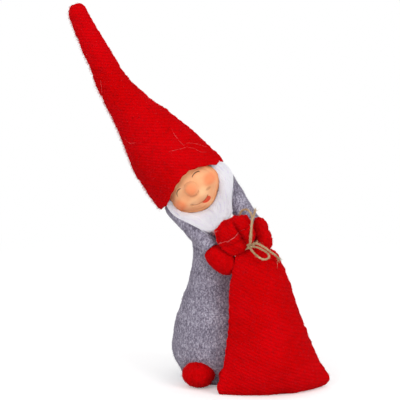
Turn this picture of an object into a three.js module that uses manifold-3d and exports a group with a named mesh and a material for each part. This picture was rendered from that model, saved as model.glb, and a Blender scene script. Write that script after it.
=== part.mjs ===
// A fabric christmas gnome that leans on its own feet and holds a tied sack.
// Millimetres, +Z up, +Y away from the viewer. The origin is on the floor, under the
// middle of the whole figure without its loose twine.

import * as THREE from "three";
import { mergeVertices } from "three/addons/utils/BufferGeometryUtils.js";
import Module from "manifold-3d";

const wasm = await Module();
wasm.setup();

// Clearances
const GAP = 0.3;
const FLOOR_PRESS = 0.5;

// Cloth thicknesses
const BODY_FELT = 1.6;
const SLEEVE_FELT = 1.3;
const HAT_WOOL = 2;
const SACK_WOOL = 1.8;

// The figure's place over the origin
const FIGURE_SHIFT = [-0.5, 13.2, 0];

// Body
const BODY_CENTRE_X = 12.3;
const BASE_RADIUS = 24.6;
const BELLY_RADIUS = 34.2;
const BELLY_HEIGHT = 25;
const WAIST_RADIUS = 15.4;
const WAIST_HEIGHT = 98;
const NECK_RADIUS = 15.6;
const NECK_HEIGHT = 136;
const NECK_LEAN = 13.3;

// Base and ballast
const BASE_FELT_THICK = 1.6;
const BASE_BOARD_THICK = 2;
const BALLAST_HEIGHT = 16;

// Head and face
const HEAD_OVER_NECK = 12.3;
const HEAD_CENTRE = [-4.5, 0, NECK_HEIGHT + HEAD_OVER_NECK];
const HEAD_RADIUS = 19.5;
const HEAD_TILT = 36.5;
const HEAD_YAW = 6;
const FACE_ACROSS = 20.8;
const FACE_TALL = 19.4;
const FACE_DEEP = 22.6;
const FACE_BACK = 8;
const NOSE_RADIUS = 5.3;
const NOSE_OUT = 23.2;
const NOSE_ASIDE = 0.9;
const NOSE_UP = 1.3;
const CHEEK_RADIUS = 6.4;
const CHEEK_OUT = 15.8;
const CHEEK_ASIDE = 13.2;
const CHEEK_DOWN = 4.6;

// Hat
const HAT_DEPTH_SHIFT = 0.6;
const HAT_BRIM_WIDTH = 60.4;
const HAT_BRIM_DEPTH = 54;
const HAT_BEND_RADIUS = 13.9;
const HAT_TIP_RADIUS = 6.6;
const BEND_PLAY = 0.8;

// Armature wire
const WIRE_RADIUS = 1.2;

// Feet
const FOOT_RADII = [13, 13.6, 10];
const FOOT_CENTRE_Z = FOOT_RADII[2] - FLOOR_PRESS;
const RIGHT_FOOT = [-1.1, -28];
const LEFT_FOOT = [25.6, -25];

// Arms
const SHOULDER_RADIUS = 9.4;
const CUFF_RADIUS = 7.2;
const RIGHT_MITTEN = { centre: [15.5, -27.5, 96.2], length: 26, width: 18, depth: 18 };
const LEFT_MITTEN = { centre: [45.8, -21, 114.2], length: 25.6, width: 14, depth: 16 };

// Sack
const SACK_TURN = 16;
const SACK_CORNER_WIDTH = 88;
const SACK_DEPTH = 46;
const SACK_SWING = 12;
const NECK_TIE = [35.2, -27, 106.5];
const NECK_BALL_RADIUS = 6.5;

// Twine
const TWINE_RADIUS = 0.8;
const TIE_LEAN = 27;
const KNOT_CENTRE = [36.4, -36.8, 108.2];
const KNOT_RADII = [2.7, 2.3, 2.5];
const CORD_SIDES = 8;

// Faceting
const BODY_SIDES = 18;
const HAT_SIDES = 16;
const SACK_SIDES = 16;
const MOUTH_SIDES = 15;
const LIMB_SIDES = 10;
const BALL_SIDES = 12;
const HEAD_SIDES = 14;
const WIRE_SIDES = 6;

// What the neck carries is given by its rise over the neck's end
const overNeck = (rise) => NECK_HEIGHT + rise;

const UP = new THREE.Vector3(0, 0, 1);
const AWAY = new THREE.Vector3(0, 1, 0);

// Solids from closed three.js geometries

function toSolid(geometry) {
  const bare = geometry.clone();
  bare.deleteAttribute("normal");
  bare.deleteAttribute("uv");
  const merged = mergeVertices(bare, 1e-4);
  const index = merged.index.array;
  const faces = [];
  for (let i = 0; i < index.length; i += 3) {
    const [a, b, c] = [index[i], index[i + 1], index[i + 2]];
    if (a !== b && b !== c && c !== a) faces.push(a, b, c);
  }
  return new wasm.Manifold(new wasm.Mesh({
    numProp: 3,
    vertProperties: new Float32Array(merged.attributes.position.array),
    triVerts: new Uint32Array(faces),
  }));
}

// Cutting can leave crumbs, so a piece is the largest body that is left of it
function largest(solid) {
  const bodies = solid.decompose();
  return bodies.reduce((best, body) => (body.volume() > best.volume() ? body : best));
}

function carve(solid, ...cutters) {
  return cutters.reduce((rest, cutter) => rest.subtract(cutter), solid);
}

function join(first, ...others) {
  return others.reduce((whole, other) => whole.add(other), first);
}

function vector(list) {
  return new THREE.Vector3(...list);
}

// A soft form: rings strung along a smooth path, closed at both ends. Each station gives
// the ring's centre (at), half its width (across) and half its depth (deep), how pointed
// its two side edges are (point: 0 is oval, 1 is a sewn edge) and how deep its flutes are.
// sideways is the direction that the ring's depth follows, level keeps every ring flat to
// the floor instead of square to the path, and grow swells the whole form.
function softForm(stations, { rings, sides = LIMB_SIDES, sideways = AWAY, level = false, flutes = 0, grow = 0 }) {
  const centres = new THREE.CatmullRomCurve3(stations.map((s) => vector(s.at)), false, "centripetal");
  const ovals = new THREE.CatmullRomCurve3(
    stations.map((s) => new THREE.Vector3(s.across, s.deep, s.point ?? 0)), false, "catmullrom", 0.5);
  const folds = new THREE.CatmullRomCurve3(
    stations.map((s, i) => new THREE.Vector3(s.flute ?? 0, i, 0)), false, "catmullrom", 0.5);
  const profile = [new THREE.Vector2(0, 0)];
  for (let ring = 0; ring < rings; ring++) profile.push(new THREE.Vector2(1, ring));
  profile.push(new THREE.Vector2(0, rings - 1));
  const geometry = new THREE.LatheGeometry(profile, sides);
  const place = geometry.attributes.position;
  const frames = [];
  for (let ring = 0; ring < rings; ring++) {
    const t = ring / (rings - 1);
    const along = level ? UP.clone() : centres.getTangent(t);
    const across = sideways.clone().cross(along).normalize();
    const front = across.clone().cross(along).normalize();
    const centre = centres.getPoint(t);
    centre.addScaledVector(along, grow * (2 * t - 1));
    frames.push({ centre, across, front, oval: ovals.getPoint(t), fold: folds.getPoint(t).x });
  }
  for (let i = 0; i < place.count; i++) {
    const j = i % profile.length;
    const angle = (Math.floor(i / profile.length) % sides) / sides * 2 * Math.PI;
    const frame = frames[THREE.MathUtils.clamp(j - 1, 0, rings - 1)];
    const radius = profile[j].x;
    const wave = 1 + frame.fold * Math.cos(flutes * angle);
    const x = Math.max(frame.oval.x + grow, 0.05) * wave * Math.sin(angle);
    const y = Math.max(frame.oval.y + grow, 0.05) * wave * Math.cos(angle) *
      Math.abs(Math.cos(angle)) ** Math.max(frame.oval.z, 0);
    const point = frame.centre.clone()
      .addScaledVector(frame.across, radius * x)
      .addScaledVector(frame.front, radius * y);
    place.setXYZ(i, point.x, point.y, point.z);
  }
  return toSolid(geometry);
}

function ellipsoid(centre, radii, { grow = 0, sides = BALL_SIDES, turn = null } = {}) {
  const geometry = new THREE.SphereGeometry(1, sides, Math.round(sides * 0.6));
  geometry.rotateX(Math.PI / 2);
  geometry.scale(radii[0] + grow, radii[1] + grow, radii[2] + grow);
  if (turn) geometry.applyQuaternion(turn);
  geometry.translate(...centre);
  return toSolid(geometry);
}

function ball(centre, radius, sides = BALL_SIDES) {
  return ellipsoid(centre, [radius, radius, radius], { sides });
}

function disc(centre, radius, thick, sides = BODY_SIDES) {
  const geometry = new THREE.CylinderGeometry(radius, radius, thick, sides);
  geometry.rotateX(Math.PI / 2);
  geometry.translate(centre[0], centre[1], centre[2] + thick / 2);
  return toSolid(geometry);
}

function box(low, high) {
  const size = high.map((value, i) => value - low[i]);
  const geometry = new THREE.BoxGeometry(...size);
  geometry.translate(...low.map((value, i) => value + size[i] / 2));
  return toSolid(geometry);
}

function ringShape(radius, sides) {
  const points = [];
  for (let i = 0; i < sides; i++) {
    const angle = (i + 0.5) / sides * 2 * Math.PI;
    points.push(new THREE.Vector2(radius * Math.cos(angle), radius * Math.sin(angle)));
  }
  return new THREE.Shape(points);
}

function tube(points, radius, steps, sides = CORD_SIDES) {
  const path = new THREE.CatmullRomCurve3(points.map(vector), false, "centripetal");
  return toSolid(new THREE.ExtrudeGeometry(ringShape(radius, sides), {
    steps, extrudePath: path, bevelEnabled: false,
  }));
}

// A plate whose outline is seen from the front, between two depths
function frontPlate(outline, nearY, farY, smooth = true) {
  const flat = outline.map(([x, z]) => new THREE.Vector2(x, z));
  const shape = new THREE.Shape(smooth ? new THREE.SplineCurve(flat).getPoints(flat.length) : flat);
  const geometry = new THREE.ExtrudeGeometry(shape, { depth: farY - nearY, bevelEnabled: false });
  geometry.rotateX(Math.PI / 2);
  geometry.translate(0, farY, 0);
  return toSolid(geometry);
}

const everything = new THREE.Group();
everything.position.set(...FIGURE_SHIFT);
const torso = new THREE.Group();
const hatTip = new THREE.Group();
const sack = new THREE.Group();
everything.add(torso, hatTip, sack);

function place(group, name, solid, finish) {
  const mesh = largest(solid).getMesh();
  const geometry = new THREE.BufferGeometry();
  geometry.setAttribute("position", new THREE.BufferAttribute(mesh.vertProperties, 3));
  geometry.setIndex(new THREE.BufferAttribute(mesh.triVerts, 1));
  const part = new THREE.Mesh(geometry, new THREE.MeshStandardMaterial(finish));
  part.name = name;
  group.add(part);
}

// Finishes
const GREY_FELT = { color: 0x98939d, roughness: 0.95, metalness: 0 };
const RED_WOOL = { color: 0xc60a12, roughness: 0.95, metalness: 0 };
const RED_FELT = { color: 0xc20d12, roughness: 0.9, metalness: 0 };
const WADDING = { color: 0xf2f0ea, roughness: 1, metalness: 0 };
const WHITE_HAIR = { color: 0xefecf4, roughness: 0.7, metalness: 0 };
const SKIN = { color: 0xf3b27c, roughness: 0.55, metalness: 0 };
const FOAM = { color: 0xf4f4f2, roughness: 0.8, metalness: 0 };
const BOARD = { color: 0xb28a5e, roughness: 0.9, metalness: 0 };
const CANVAS = { color: 0xd8cfb8, roughness: 0.95, metalness: 0 };
const WIRE = { color: 0x8d9094, roughness: 0.4, metalness: 1 };
const JUTE = { color: 0xb89468, roughness: 0.9, metalness: 0 };

// Body form: a bag with a wide belly and a narrow waist, bent towards the head
function bodyForm(grow) {
  const ring = (height, radius, shift = 0) => ({
    at: [BODY_CENTRE_X + shift, 0, height], across: radius, deep: radius,
  });
  const lean = (share) => -NECK_LEAN * share;
  const flank = (share) => THREE.MathUtils.lerp(BELLY_RADIUS, WAIST_RADIUS, share);
  const rise = (share) => THREE.MathUtils.lerp(BELLY_HEIGHT, WAIST_HEIGHT, share);
  return softForm([
    ring(0, BASE_RADIUS),
    ring(BELLY_HEIGHT * 0.28, BASE_RADIUS + (BELLY_RADIUS - BASE_RADIUS) * 0.32),
    ring(BELLY_HEIGHT * 0.62, BASE_RADIUS + (BELLY_RADIUS - BASE_RADIUS) * 0.82),
    ring(BELLY_HEIGHT, BELLY_RADIUS),
    ring(rise(0.28), flank(0.2), lean(0.06)),
    ring(rise(0.5), flank(0.49), lean(0.1)),
    ring(rise(0.72), flank(0.81), lean(0.15)),
    ring(WAIST_HEIGHT, WAIST_RADIUS, lean(0.2)),
    ring(THREE.MathUtils.lerp(WAIST_HEIGHT, NECK_HEIGHT, 0.5), NECK_RADIUS - 0.3, lean(0.52)),
    ring(NECK_HEIGHT, NECK_RADIUS, lean(1)),
  ], { rings: 11, sides: BODY_SIDES, level: true, grow });
}

// Head frame: the head tips to the viewer's left and looks a little that way
const headTurn = new THREE.Quaternion()
  .setFromAxisAngle(AWAY, -THREE.MathUtils.degToRad(HEAD_TILT))
  .multiply(new THREE.Quaternion().setFromAxisAngle(UP, -THREE.MathUtils.degToRad(HEAD_YAW)));

function onHead(right, away, up) {
  return new THREE.Vector3(right, away, up).applyQuaternion(headTurn).add(vector(HEAD_CENTRE)).toArray();
}

// The moulded face: a shallow dome with a round nose and two full cheeks
function faceForm(grow) {
  const dome = ellipsoid(HEAD_CENTRE, [FACE_ACROSS, FACE_DEEP, FACE_TALL], { grow, sides: HEAD_SIDES, turn: headTurn });
  const nose = ball(onHead(NOSE_ASIDE, -NOSE_OUT, NOSE_UP), NOSE_RADIUS + grow, 12);
  const cheeks = [-1, 1].map((side) => ball(
    onHead(side * CHEEK_ASIDE, -CHEEK_OUT, -CHEEK_DOWN), CHEEK_RADIUS + grow, 10));
  return join(dome, nose, ...cheeks);
}

// Hat: one tall bent cone of knitted wool, given from the brim to the tip
const HAT_BEND = [-56.2, HAT_DEPTH_SHIFT, overNeck(75.2)];

function hatForm(grow) {
  const brim = HAT_BRIM_WIDTH / 2;
  const depth = HAT_BRIM_DEPTH / 2;
  const ring = (x, rise, across, deep = across, point = 0) => ({
    at: [x, HAT_DEPTH_SHIFT, overNeck(rise)], across, deep, point,
  });
  return softForm([
    ring(4.6, -1.6, brim, depth, 0.45),
    ring(-6.1, 11.5, brim, depth, 0.42),
    ring(-16.9, 24.4, brim - 1.5, depth - 1.2, 0.36),
    ring(-27, 36.5, brim - 3.5, depth - 3, 0.28),
    ring(-35.1, 47.4, 23, 21.6, 0.15),
    ring(-43.6, 58.9, 19.4, 18.6, 0.05),
    ring(-51.2, 68.8, 15.6),
    ring(HAT_BEND[0], HAT_BEND[2] - NECK_HEIGHT, HAT_BEND_RADIUS),
    ring(-60.4, 81.4, 12.5),
    ring(-68.1, 94.1, 10.8),
    ring(-75.2, 109.1, 9.4),
    ring(-81.7, 121.8, 8.4),
    ring(-87.1, 133, 7.2),
    ring(-90, 140.4, HAT_TIP_RADIUS),
    ring(-91.4, 144.4, 4.6),
    ring(-92.1, 146.4, 1.6),
  ], { rings: 16, sides: HAT_SIDES, grow });
}

// The brim is lifted over the face and hangs over the nape between its two corners behind
function brimCutter() {
  const plate = (outline, nearY, farY) => frontPlate(
    outline.map(([x, rise]) => [x, overNeck(rise)]), nearY, farY, false);
  const front = plate([
    [-48, -26], [-33, -9.6], [-28.4, -4.6], [-24.4, 1.6], [-21.4, 8.6], [-18, 16.4], [-13.2, 22.1],
    [-8.1, 26.4], [-2, 29.1], [5, 29.6], [12, 29.6], [19, 31.2], [34, 40], [60, 40], [60, -36], [-48, -36],
  ], -60, 0.02);
  const behind = plate([
    [-60, -29], [-30.4, -6.6], [-23.8, -5.4], [-14.4, -2.7], [-0.9, 4.4], [9.7, 15.6], [14.8, 23.9],
    [17.8, 29.9], [60, 61.8], [60, -46], [-60, -46],
  ], 0, 60);
  return front.add(behind);
}

// The half of space on the tip's side of the hat's bend
const bendUp = new THREE.Vector3(-0.6, 0, 0.8);

function aboveBend() {
  const geometry = new THREE.BoxGeometry(120, 120, 120);
  geometry.translate(0, 0, 60);
  geometry.applyQuaternion(new THREE.Quaternion().setFromUnitVectors(UP, bendUp));
  geometry.translate(...HAT_BEND);
  return toSolid(geometry);
}

// Arms: tapering felt tubes from the shoulders round to the front
function rightSleeveForm(grow) {
  const size = (share) => THREE.MathUtils.lerp(SHOULDER_RADIUS, CUFF_RADIUS, share);
  const ring = (at, share) => ({ at, across: size(share), deep: size(share) });
  return softForm([
    ring([-21.1, 4, overNeck(-1.4)], 0),
    ring([-15, -4, overNeck(-7.4)], 0.1),
    ring([-7.4, -13, 121], 0.3),
    ring([1.5, -21, 111.4], 0.6),
    ring([8.4, -25.4, 104], 1),
  ], { rings: 6, grow });
}

function leftSleeveForm(grow) {
  const size = (share) => THREE.MathUtils.lerp(SHOULDER_RADIUS, CUFF_RADIUS, share);
  const ring = (at, share) => ({ at, across: size(share), deep: size(share) });
  return softForm([
    ring([13.6, 4, overNeck(20.4)], 0),
    ring([21, -1, overNeck(9.8)], 0.1),
    ring([29.1, -8, 134], 0.3),
    ring([37.1, -15, 122.9], 0.6),
    ring([41.8, -18.6, 117.6], 1),
  ], { rings: 6, grow });
}

// A mitten is egg shaped, blunt at the fingers and narrower at the wrist
function mittenForm({ centre, length, width, depth }, direction, grow) {
  const along = vector(direction).normalize();
  const ring = (share, swell) => ({
    at: vector(centre).addScaledVector(along, share * length / 2).toArray(),
    across: swell * width / 2,
    deep: swell * depth / 2,
  });
  return softForm([
    ring(-1, 0.3), ring(-0.88, 0.6), ring(-0.6, 0.86), ring(-0.1, 0.99), ring(0.35, 1), ring(0.75, 0.8), ring(0.94, 0.5),
    ring(1, 0.22),
  ], { rings: 8, grow });
}

const rightMittenForm = (grow) => mittenForm(RIGHT_MITTEN, [0.787, 0, -0.615], grow);
const leftMittenForm = (grow) => mittenForm(LEFT_MITTEN, [0.28, 0, -0.96], grow);

function footForm([x, y], grow) {
  return ellipsoid([x, y, FOOT_CENTRE_Z], FOOT_RADII, { grow });
}

// Sack: a stuffed pillow bag that stands on its bottom edge and narrows to its tied neck
const sackTurn = THREE.MathUtils.degToRad(SACK_TURN);
const sackAway = new THREE.Vector3(-Math.sin(sackTurn), Math.cos(sackTurn), 0);
const sackAcross = new THREE.Vector3(Math.cos(sackTurn), Math.sin(sackTurn), 0);

function sackForm(grow) {
  const half = SACK_CORNER_WIDTH / 2;
  const depth = SACK_DEPTH / 2;
  const ring = (x, y, z, across, deep, point) => ({ at: [x, y, z], across, deep, point });
  return softForm([
    ring(53.6, -38.6, -FLOOR_PRESS, half * 0.84, depth * 0.46, 0.6),
    ring(54.2, -38.6, 1.6, half * 0.95, depth * 0.62, 0.7),
    ring(55, -38.4, 6, half, depth * 0.76, 0.9),
    ring(54.2, -38, 13, half * 0.93, depth * 0.9, 0.9),
    ring(52.6, -37.2, 22, half * 0.83, depth, 0.8),
    ring(50.4, -36, 36, half * 0.74, depth * 0.98, 0.7),
    ring(47.9, -34.4, 54, half * 0.645, depth * 0.86, 0.65),
    ring(45.3, -32.4, 70, half * 0.575, depth * 0.76, 0.6),
    ring(43.6, -30.6, 83, half * 0.51, depth * 0.66, 0.5),
    ring(42.6, -28.4, 94, half * 0.42, depth * 0.46, 0.35),
    ring(41.4, -27.2, 101, half * 0.34, depth * 0.36, 0.2),
    ring(39.6, -26.8, 105.4, half * 0.14, depth * 0.2, 0),
  ], { rings: 12, sides: SACK_SIDES, sideways: sackAway, level: true, grow });
}

// The sack's mouth: gathered folds that flare up and to the viewer's left from the tie
function mouthForm(grow, reach = 0) {
  const ring = (x, y, z, across, deep, flute) => ({ at: [x, y, z], across, deep, flute });
  return softForm([
    ring(35.2, -27, 106.5, 5.2, 5.2, 0),
    ring(31.6, -28.6, 110, 11, 7.8, 0.06),
    ring(28, -29.6, 113.8, 14.2, 9.2, 0.1),
    ring(25.2, -30.2, 117.8, 14.6, 9.2, 0.12),
    ring(22.1 - 2 * reach, -30.4, 124.2 + 3.2 * reach, 14.4, 8.8, 0.14),
  ], { rings: 6, sides: MOUTH_SIDES, flutes: 5, grow });
}

// Twine: a ring round the neck, a knot in front, two bow loops and two frayed ends.
// The points of each stretch are chosen by hand along its way.
const HIGH_LOOP = [
  [37, -37.2, 111.1], [37.2, -37.3, 113.5], [37.3, -36.9, 116.2], [37.4, -36.2, 119], [37.6, -35.3, 121.8],
  [37.8, -34.1, 124.6], [38, -32.5, 127.2], [37.9, -30.6, 129.6], [37, -28.6, 131.6], [35.4, -27, 133],
  [33.6, -25.6, 133.5], [31.8, -24, 133], [30.3, -22.6, 131.4], [29.4, -21.3, 129], [29.2, -20.2, 126],
  [29.6, -19.2, 122.6], [30.6, -18.4, 119], [31.8, -17.9, 115.6], [33.2, -17.8, 112.4], [34.4, -18.2, 109.6],
  [34.9, -18.8, 107.9],
];
const LOW_LOOP = [
  [38.2, -37.7, 108.2], [39.8, -38.6, 108.2], [41.6, -39.6, 107.9], [43.9, -40.7, 107.1], [46.4, -41.7, 105.9],
  [48.7, -42.2, 104.4], [50.1, -42.4, 102.6], [49.9, -42.6, 100.8], [48.4, -42.8, 99.7], [46.2, -43, 99.6],
  [43.7, -42.9, 100.6], [41.4, -42.3, 102.2], [39.5, -41.2, 103.8], [38, -39.9, 105.3], [37, -38.6, 106.6],
];
const LONG_TAIL = [
  [38.4, -38.3, 110.2], [40.1, -40.6, 111.1], [41.9, -42.8, 111], [43.7, -44.6, 110.6], [45.6, -45.8, 109.7],
  [47.4, -46.3, 108.6], [49.3, -46, 107.1], [51.1, -44.9, 105.5], [52.9, -43, 103.9], [54.6, -40.6, 102.4],
  [56, -38, 100.7], [57, -35.6, 99.2], [57.8, -33.6, 98],
];
const SHORT_TAIL = [
  [36.2, -39.5, 110.1], [36.4, -41.2, 112.4], [36.3, -42.8, 114.9], [36.5, -44, 117.5], [36.8, -44.5, 120],
  [37.1, -44, 122.4], [37.3, -42.6, 124.5], [37.6, -40.5, 126.4], [38.1, -38.2, 128.1], [38.8, -35.8, 129.6],
  [39.5, -33.4, 131.1], [40.1, -31.2, 132.4], [40.4, -29.6, 133.3],
];

function tieRing(grow) {
  const radius = NECK_BALL_RADIUS + GAP + TWINE_RADIUS;
  const section = [];
  for (let i = 0; i <= 8; i++) {
    const angle = i / 8 * 2 * Math.PI;
    section.push(new THREE.Vector2(
      radius + (TWINE_RADIUS + grow) * Math.cos(angle), (TWINE_RADIUS + grow) * Math.sin(angle)));
  }
  const geometry = new THREE.LatheGeometry(section, 14);
  geometry.rotateX(Math.PI / 2);
  geometry.rotateY(-THREE.MathUtils.degToRad(TIE_LEAN));
  geometry.translate(...NECK_TIE);
  return toSolid(geometry);
}

const knotForm = (grow) => ellipsoid(KNOT_CENTRE, KNOT_RADII, { grow, sides: 10 });

const cords = (grow) => [
  [HIGH_LOOP, 17], [LOW_LOOP, 13], [LONG_TAIL, 9], [SHORT_TAIL, 9],
].map(([route, steps]) => tube(route, TWINE_RADIUS + grow, steps));

// A form turned about the sack's hinge, as the sack sees it while it swings forward
function swungBack(solid, degrees) {
  const turn = new THREE.Matrix4().makeTranslation(...NECK_TIE)
    .multiply(new THREE.Matrix4().makeRotationAxis(sackAcross, THREE.MathUtils.degToRad(degrees)))
    .multiply(new THREE.Matrix4().makeTranslation(...NECK_TIE.map((value) => -value)));
  return solid.transform(turn.elements);
}

function sweptBySwing(solid, steps = 2) {
  const turns = [];
  for (let i = 0; i <= steps; i++) turns.push(swungBack(solid, SACK_SWING * i / steps));
  return join(...turns);
}

// Armature: one wire from the base board up the back of the body into the hat
const SPINE_TOP = onHead(0, 0, -HEAD_RADIUS + 6);
const SPINE = [
  [BODY_CENTRE_X, 0, BASE_FELT_THICK + BASE_BOARD_THICK + 2 * GAP],
  [BODY_CENTRE_X, 0, 30],
  [BODY_CENTRE_X - 0.8, 0, 60],
  [BODY_CENTRE_X - 2.6, 0, 95],
  [BODY_CENTRE_X - 6, 0, overNeck(-18)],
  SPINE_TOP,
];
const HAT_WIRE_START = onHead(0, 0, HEAD_RADIUS - 6);
const inHat = (x, rise) => [x, HAT_DEPTH_SHIFT, overNeck(rise)];
const LOWER_HAT_WIRE = [HAT_WIRE_START, inHat(-29, 40.6), inHat(-44, 59.4), inHat(-51.6, 69.2)];
const UPPER_HAT_WIRE = [inHat(-64.6, 87.8), inHat(-75.2, 109.1), inHat(-81.7, 121.8), inHat(-87.1, 133)];
const wire = (points) => tube(points, WIRE_RADIUS, 6, WIRE_SIDES);

// The hole that a wire leaves in what it runs through, a little longer than the wire at its start
function wireHole(points) {
  const start = vector(points[0]);
  const back = start.clone().sub(vector(points[1])).setLength(2);
  return tube([start.add(back).toArray(), ...points], WIRE_RADIUS + 2 * GAP, 7, WIRE_SIDES);
}

// Cutters that more than one piece shares
const bodyCut = bodyForm(GAP);
const headBall = ball(HEAD_CENTRE, HEAD_RADIUS, HEAD_SIDES);
const headCut = ball(HEAD_CENTRE, HEAD_RADIUS + GAP, HEAD_SIDES);
const brim = brimCutter();
const above = aboveBend();
const hatWhole = hatForm(0);
const hatCut = hatForm(GAP).subtract(brim);
const underFloor = box([-200, -200, -40], [200, 200, 0]);

// All that lies in front of the moulded face's back; behind it is the head's ball
function beforeFace(grow) {
  const reach = 3 * HEAD_RADIUS;
  const geometry = new THREE.BoxGeometry(2 * reach, reach, 2 * reach);
  geometry.translate(0, grow - reach / 2 - FACE_BACK, 0);
  geometry.applyQuaternion(headTurn);
  geometry.translate(...HEAD_CENTRE);
  return toSolid(geometry);
}
const faceWindow = (grow) => ellipsoid(
  HEAD_CENTRE, [FACE_ACROSS, 60, FACE_TALL], { grow, sides: HEAD_SIDES, turn: headTurn });
const chinRoom = faceWindow(GAP).intersect(beforeFace(GAP));

// Base, ballast and body
const baseSeat = BASE_RADIUS - BODY_FELT;
const baseFelt = disc([BODY_CENTRE_X, 0, 0], baseSeat - GAP, BASE_FELT_THICK);
place(torso, "base_felt", baseFelt, GREY_FELT);

const boardLow = BASE_FELT_THICK + GAP;
const boardTop = boardLow + BASE_BOARD_THICK;
place(torso, "base_board", disc([BODY_CENTRE_X, 0, boardLow], baseSeat - GAP, BASE_BOARD_THICK), BOARD);

const bodyInside = bodyForm(-BODY_FELT);
const baseMouth = disc([BODY_CENTRE_X, 0, -1], baseSeat, BODY_FELT + 4);
const bodyShell = carve(bodyForm(0), bodyInside, baseMouth, headCut, chinRoom);
place(torso, "body_felt", bodyShell, GREY_FELT);

const wadding = bodyForm(-BODY_FELT - GAP);
const ballastLow = boardTop + GAP;
const ballastTop = ballastLow + BALLAST_HEIGHT;
const slab = (low, high) => box([-80, -80, low], [80, 80, high]);
const spineCut = wireHole(SPINE);
const ballast = carve(wadding.intersect(slab(ballastLow, ballastTop)), spineCut);
place(torso, "ballast_bag", ballast, CANVAS);
const bodyFilling = carve(wadding.intersect(slab(ballastTop + GAP, 200)), spineCut, headCut, chinRoom);
place(torso, "body_filling", bodyFilling, WADDING);
place(torso, "spine_wire", wire(SPINE), WIRE);

// Head and face
place(torso, "head_ball", carve(headBall, wireHole([...SPINE].reverse()), wireHole(LOWER_HAT_WIRE)), FOAM);
const hatShellCut = hatCut.subtract(hatForm(-HAT_WOOL - GAP));
place(torso, "face_mask", carve(faceForm(0).intersect(beforeFace(0)), headCut, hatShellCut), SKIN);

// Hat below and above its bend
const bendBall = ball(HAT_BEND, HAT_BEND_RADIUS, HEAD_SIDES);
const lowerOuter = hatWhole.subtract(above).add(bendBall);
const lowerInner = hatForm(-HAT_WOOL).subtract(above).add(ball(HAT_BEND, HAT_BEND_RADIUS - HAT_WOOL, HEAD_SIDES));
place(torso, "hat_lower", carve(lowerOuter, lowerInner, brim), RED_WOOL);

const fillingBall = ball(HAT_BEND, HAT_BEND_RADIUS - HAT_WOOL - GAP, HEAD_SIDES);
const lowerWadding = hatForm(-HAT_WOOL - GAP).subtract(above).add(fillingBall);
const crownOnly = (() => {
  const geometry = new THREE.BoxGeometry(160, 120, 120);
  geometry.translate(0, 0, 60 + HEAD_RADIUS * 0.45);
  geometry.applyQuaternion(headTurn);
  geometry.translate(...HEAD_CENTRE);
  return toSolid(geometry);
})();
const hatWireCut = wireHole(LOWER_HAT_WIRE);
place(torso, "hat_filling_lower", carve(
  lowerWadding.intersect(crownOnly), headCut, faceForm(GAP), hatWireCut, brim), WADDING);
place(torso, "hat_wire_lower", wire(LOWER_HAT_WIRE), WIRE);

const cupCut = ball(HAT_BEND, HAT_BEND_RADIUS + BEND_PLAY, HEAD_SIDES);
place(hatTip, "hat_upper", carve(hatWhole.intersect(above), hatForm(-HAT_WOOL), cupCut), RED_WOOL);
place(hatTip, "hat_filling_upper", carve(
  hatForm(-HAT_WOOL - GAP).intersect(above), cupCut, wireHole(UPPER_HAT_WIRE)), WADDING);
place(hatTip, "hat_wire_upper", wire(UPPER_HAT_WIRE), WIRE);

// Feet
place(torso, "right_foot", carve(footForm(RIGHT_FOOT, 0), bodyCut, underFloor), RED_FELT);
place(torso, "left_foot", carve(
  footForm(LEFT_FOOT, 0), bodyCut, footForm(RIGHT_FOOT, GAP), underFloor), RED_FELT);

// Twine
const ringCut = tieRing(GAP);
const cordCuts = cords(GAP);
place(torso, "twine_tie", tieRing(0), JUTE);
place(torso, "twine_knot", carve(knotForm(0), ringCut), JUTE);
["twine_loop_high", "twine_loop_low", "twine_tail_long", "twine_tail_short"].forEach((name, i) => {
  place(torso, name, cords(0)[i].subtract(knotForm(GAP)), JUTE);
});

// Arms and mittens
const rightSleeveCut = rightSleeveForm(GAP);
const leftSleeveCut = leftSleeveForm(GAP);
const shoulders = [bodyCut, headCut, hatCut, faceForm(GAP), chinRoom];
const twineCuts = [ringCut, knotForm(GAP), ...cordCuts];
function arm(name, form, others) {
  const outer = form(0);
  const shell = carve(outer, form(-SLEEVE_FELT), ...shoulders, ...others);
  place(torso, `${name}_sleeve`, shell, GREY_FELT);
  place(torso, `${name}_sleeve_filling`, carve(form(-SLEEVE_FELT - GAP), ...shoulders, ...others), WADDING);
}
arm("right", rightSleeveForm, twineCuts);
arm("left", leftSleeveForm, [rightSleeveCut, ...twineCuts]);
place(torso, "right_mitten", carve(rightMittenForm(0), rightSleeveCut, bodyCut, ...twineCuts), RED_FELT);
place(torso, "left_mitten", carve(leftMittenForm(0), leftSleeveCut, bodyCut, ...twineCuts), RED_FELT);

// Sack below its tie, and the gathered mouth above it
const mittenCuts = [rightMittenForm(GAP), leftMittenForm(GAP)];
const sleeveCuts = [rightSleeveCut, leftSleeveCut];
const mouthWhole = (grow) => mouthForm(grow).add(ball(NECK_TIE, NECK_BALL_RADIUS + grow));
const mouthInner = mouthForm(-SACK_WOOL, 1).subtract(ball(NECK_TIE, NECK_BALL_RADIUS + 2));
place(torso, "sack_mouth", carve(
  mouthWhole(0), mouthInner, ...mittenCuts, ...sleeveCuts, ...twineCuts), RED_WOOL);

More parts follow.
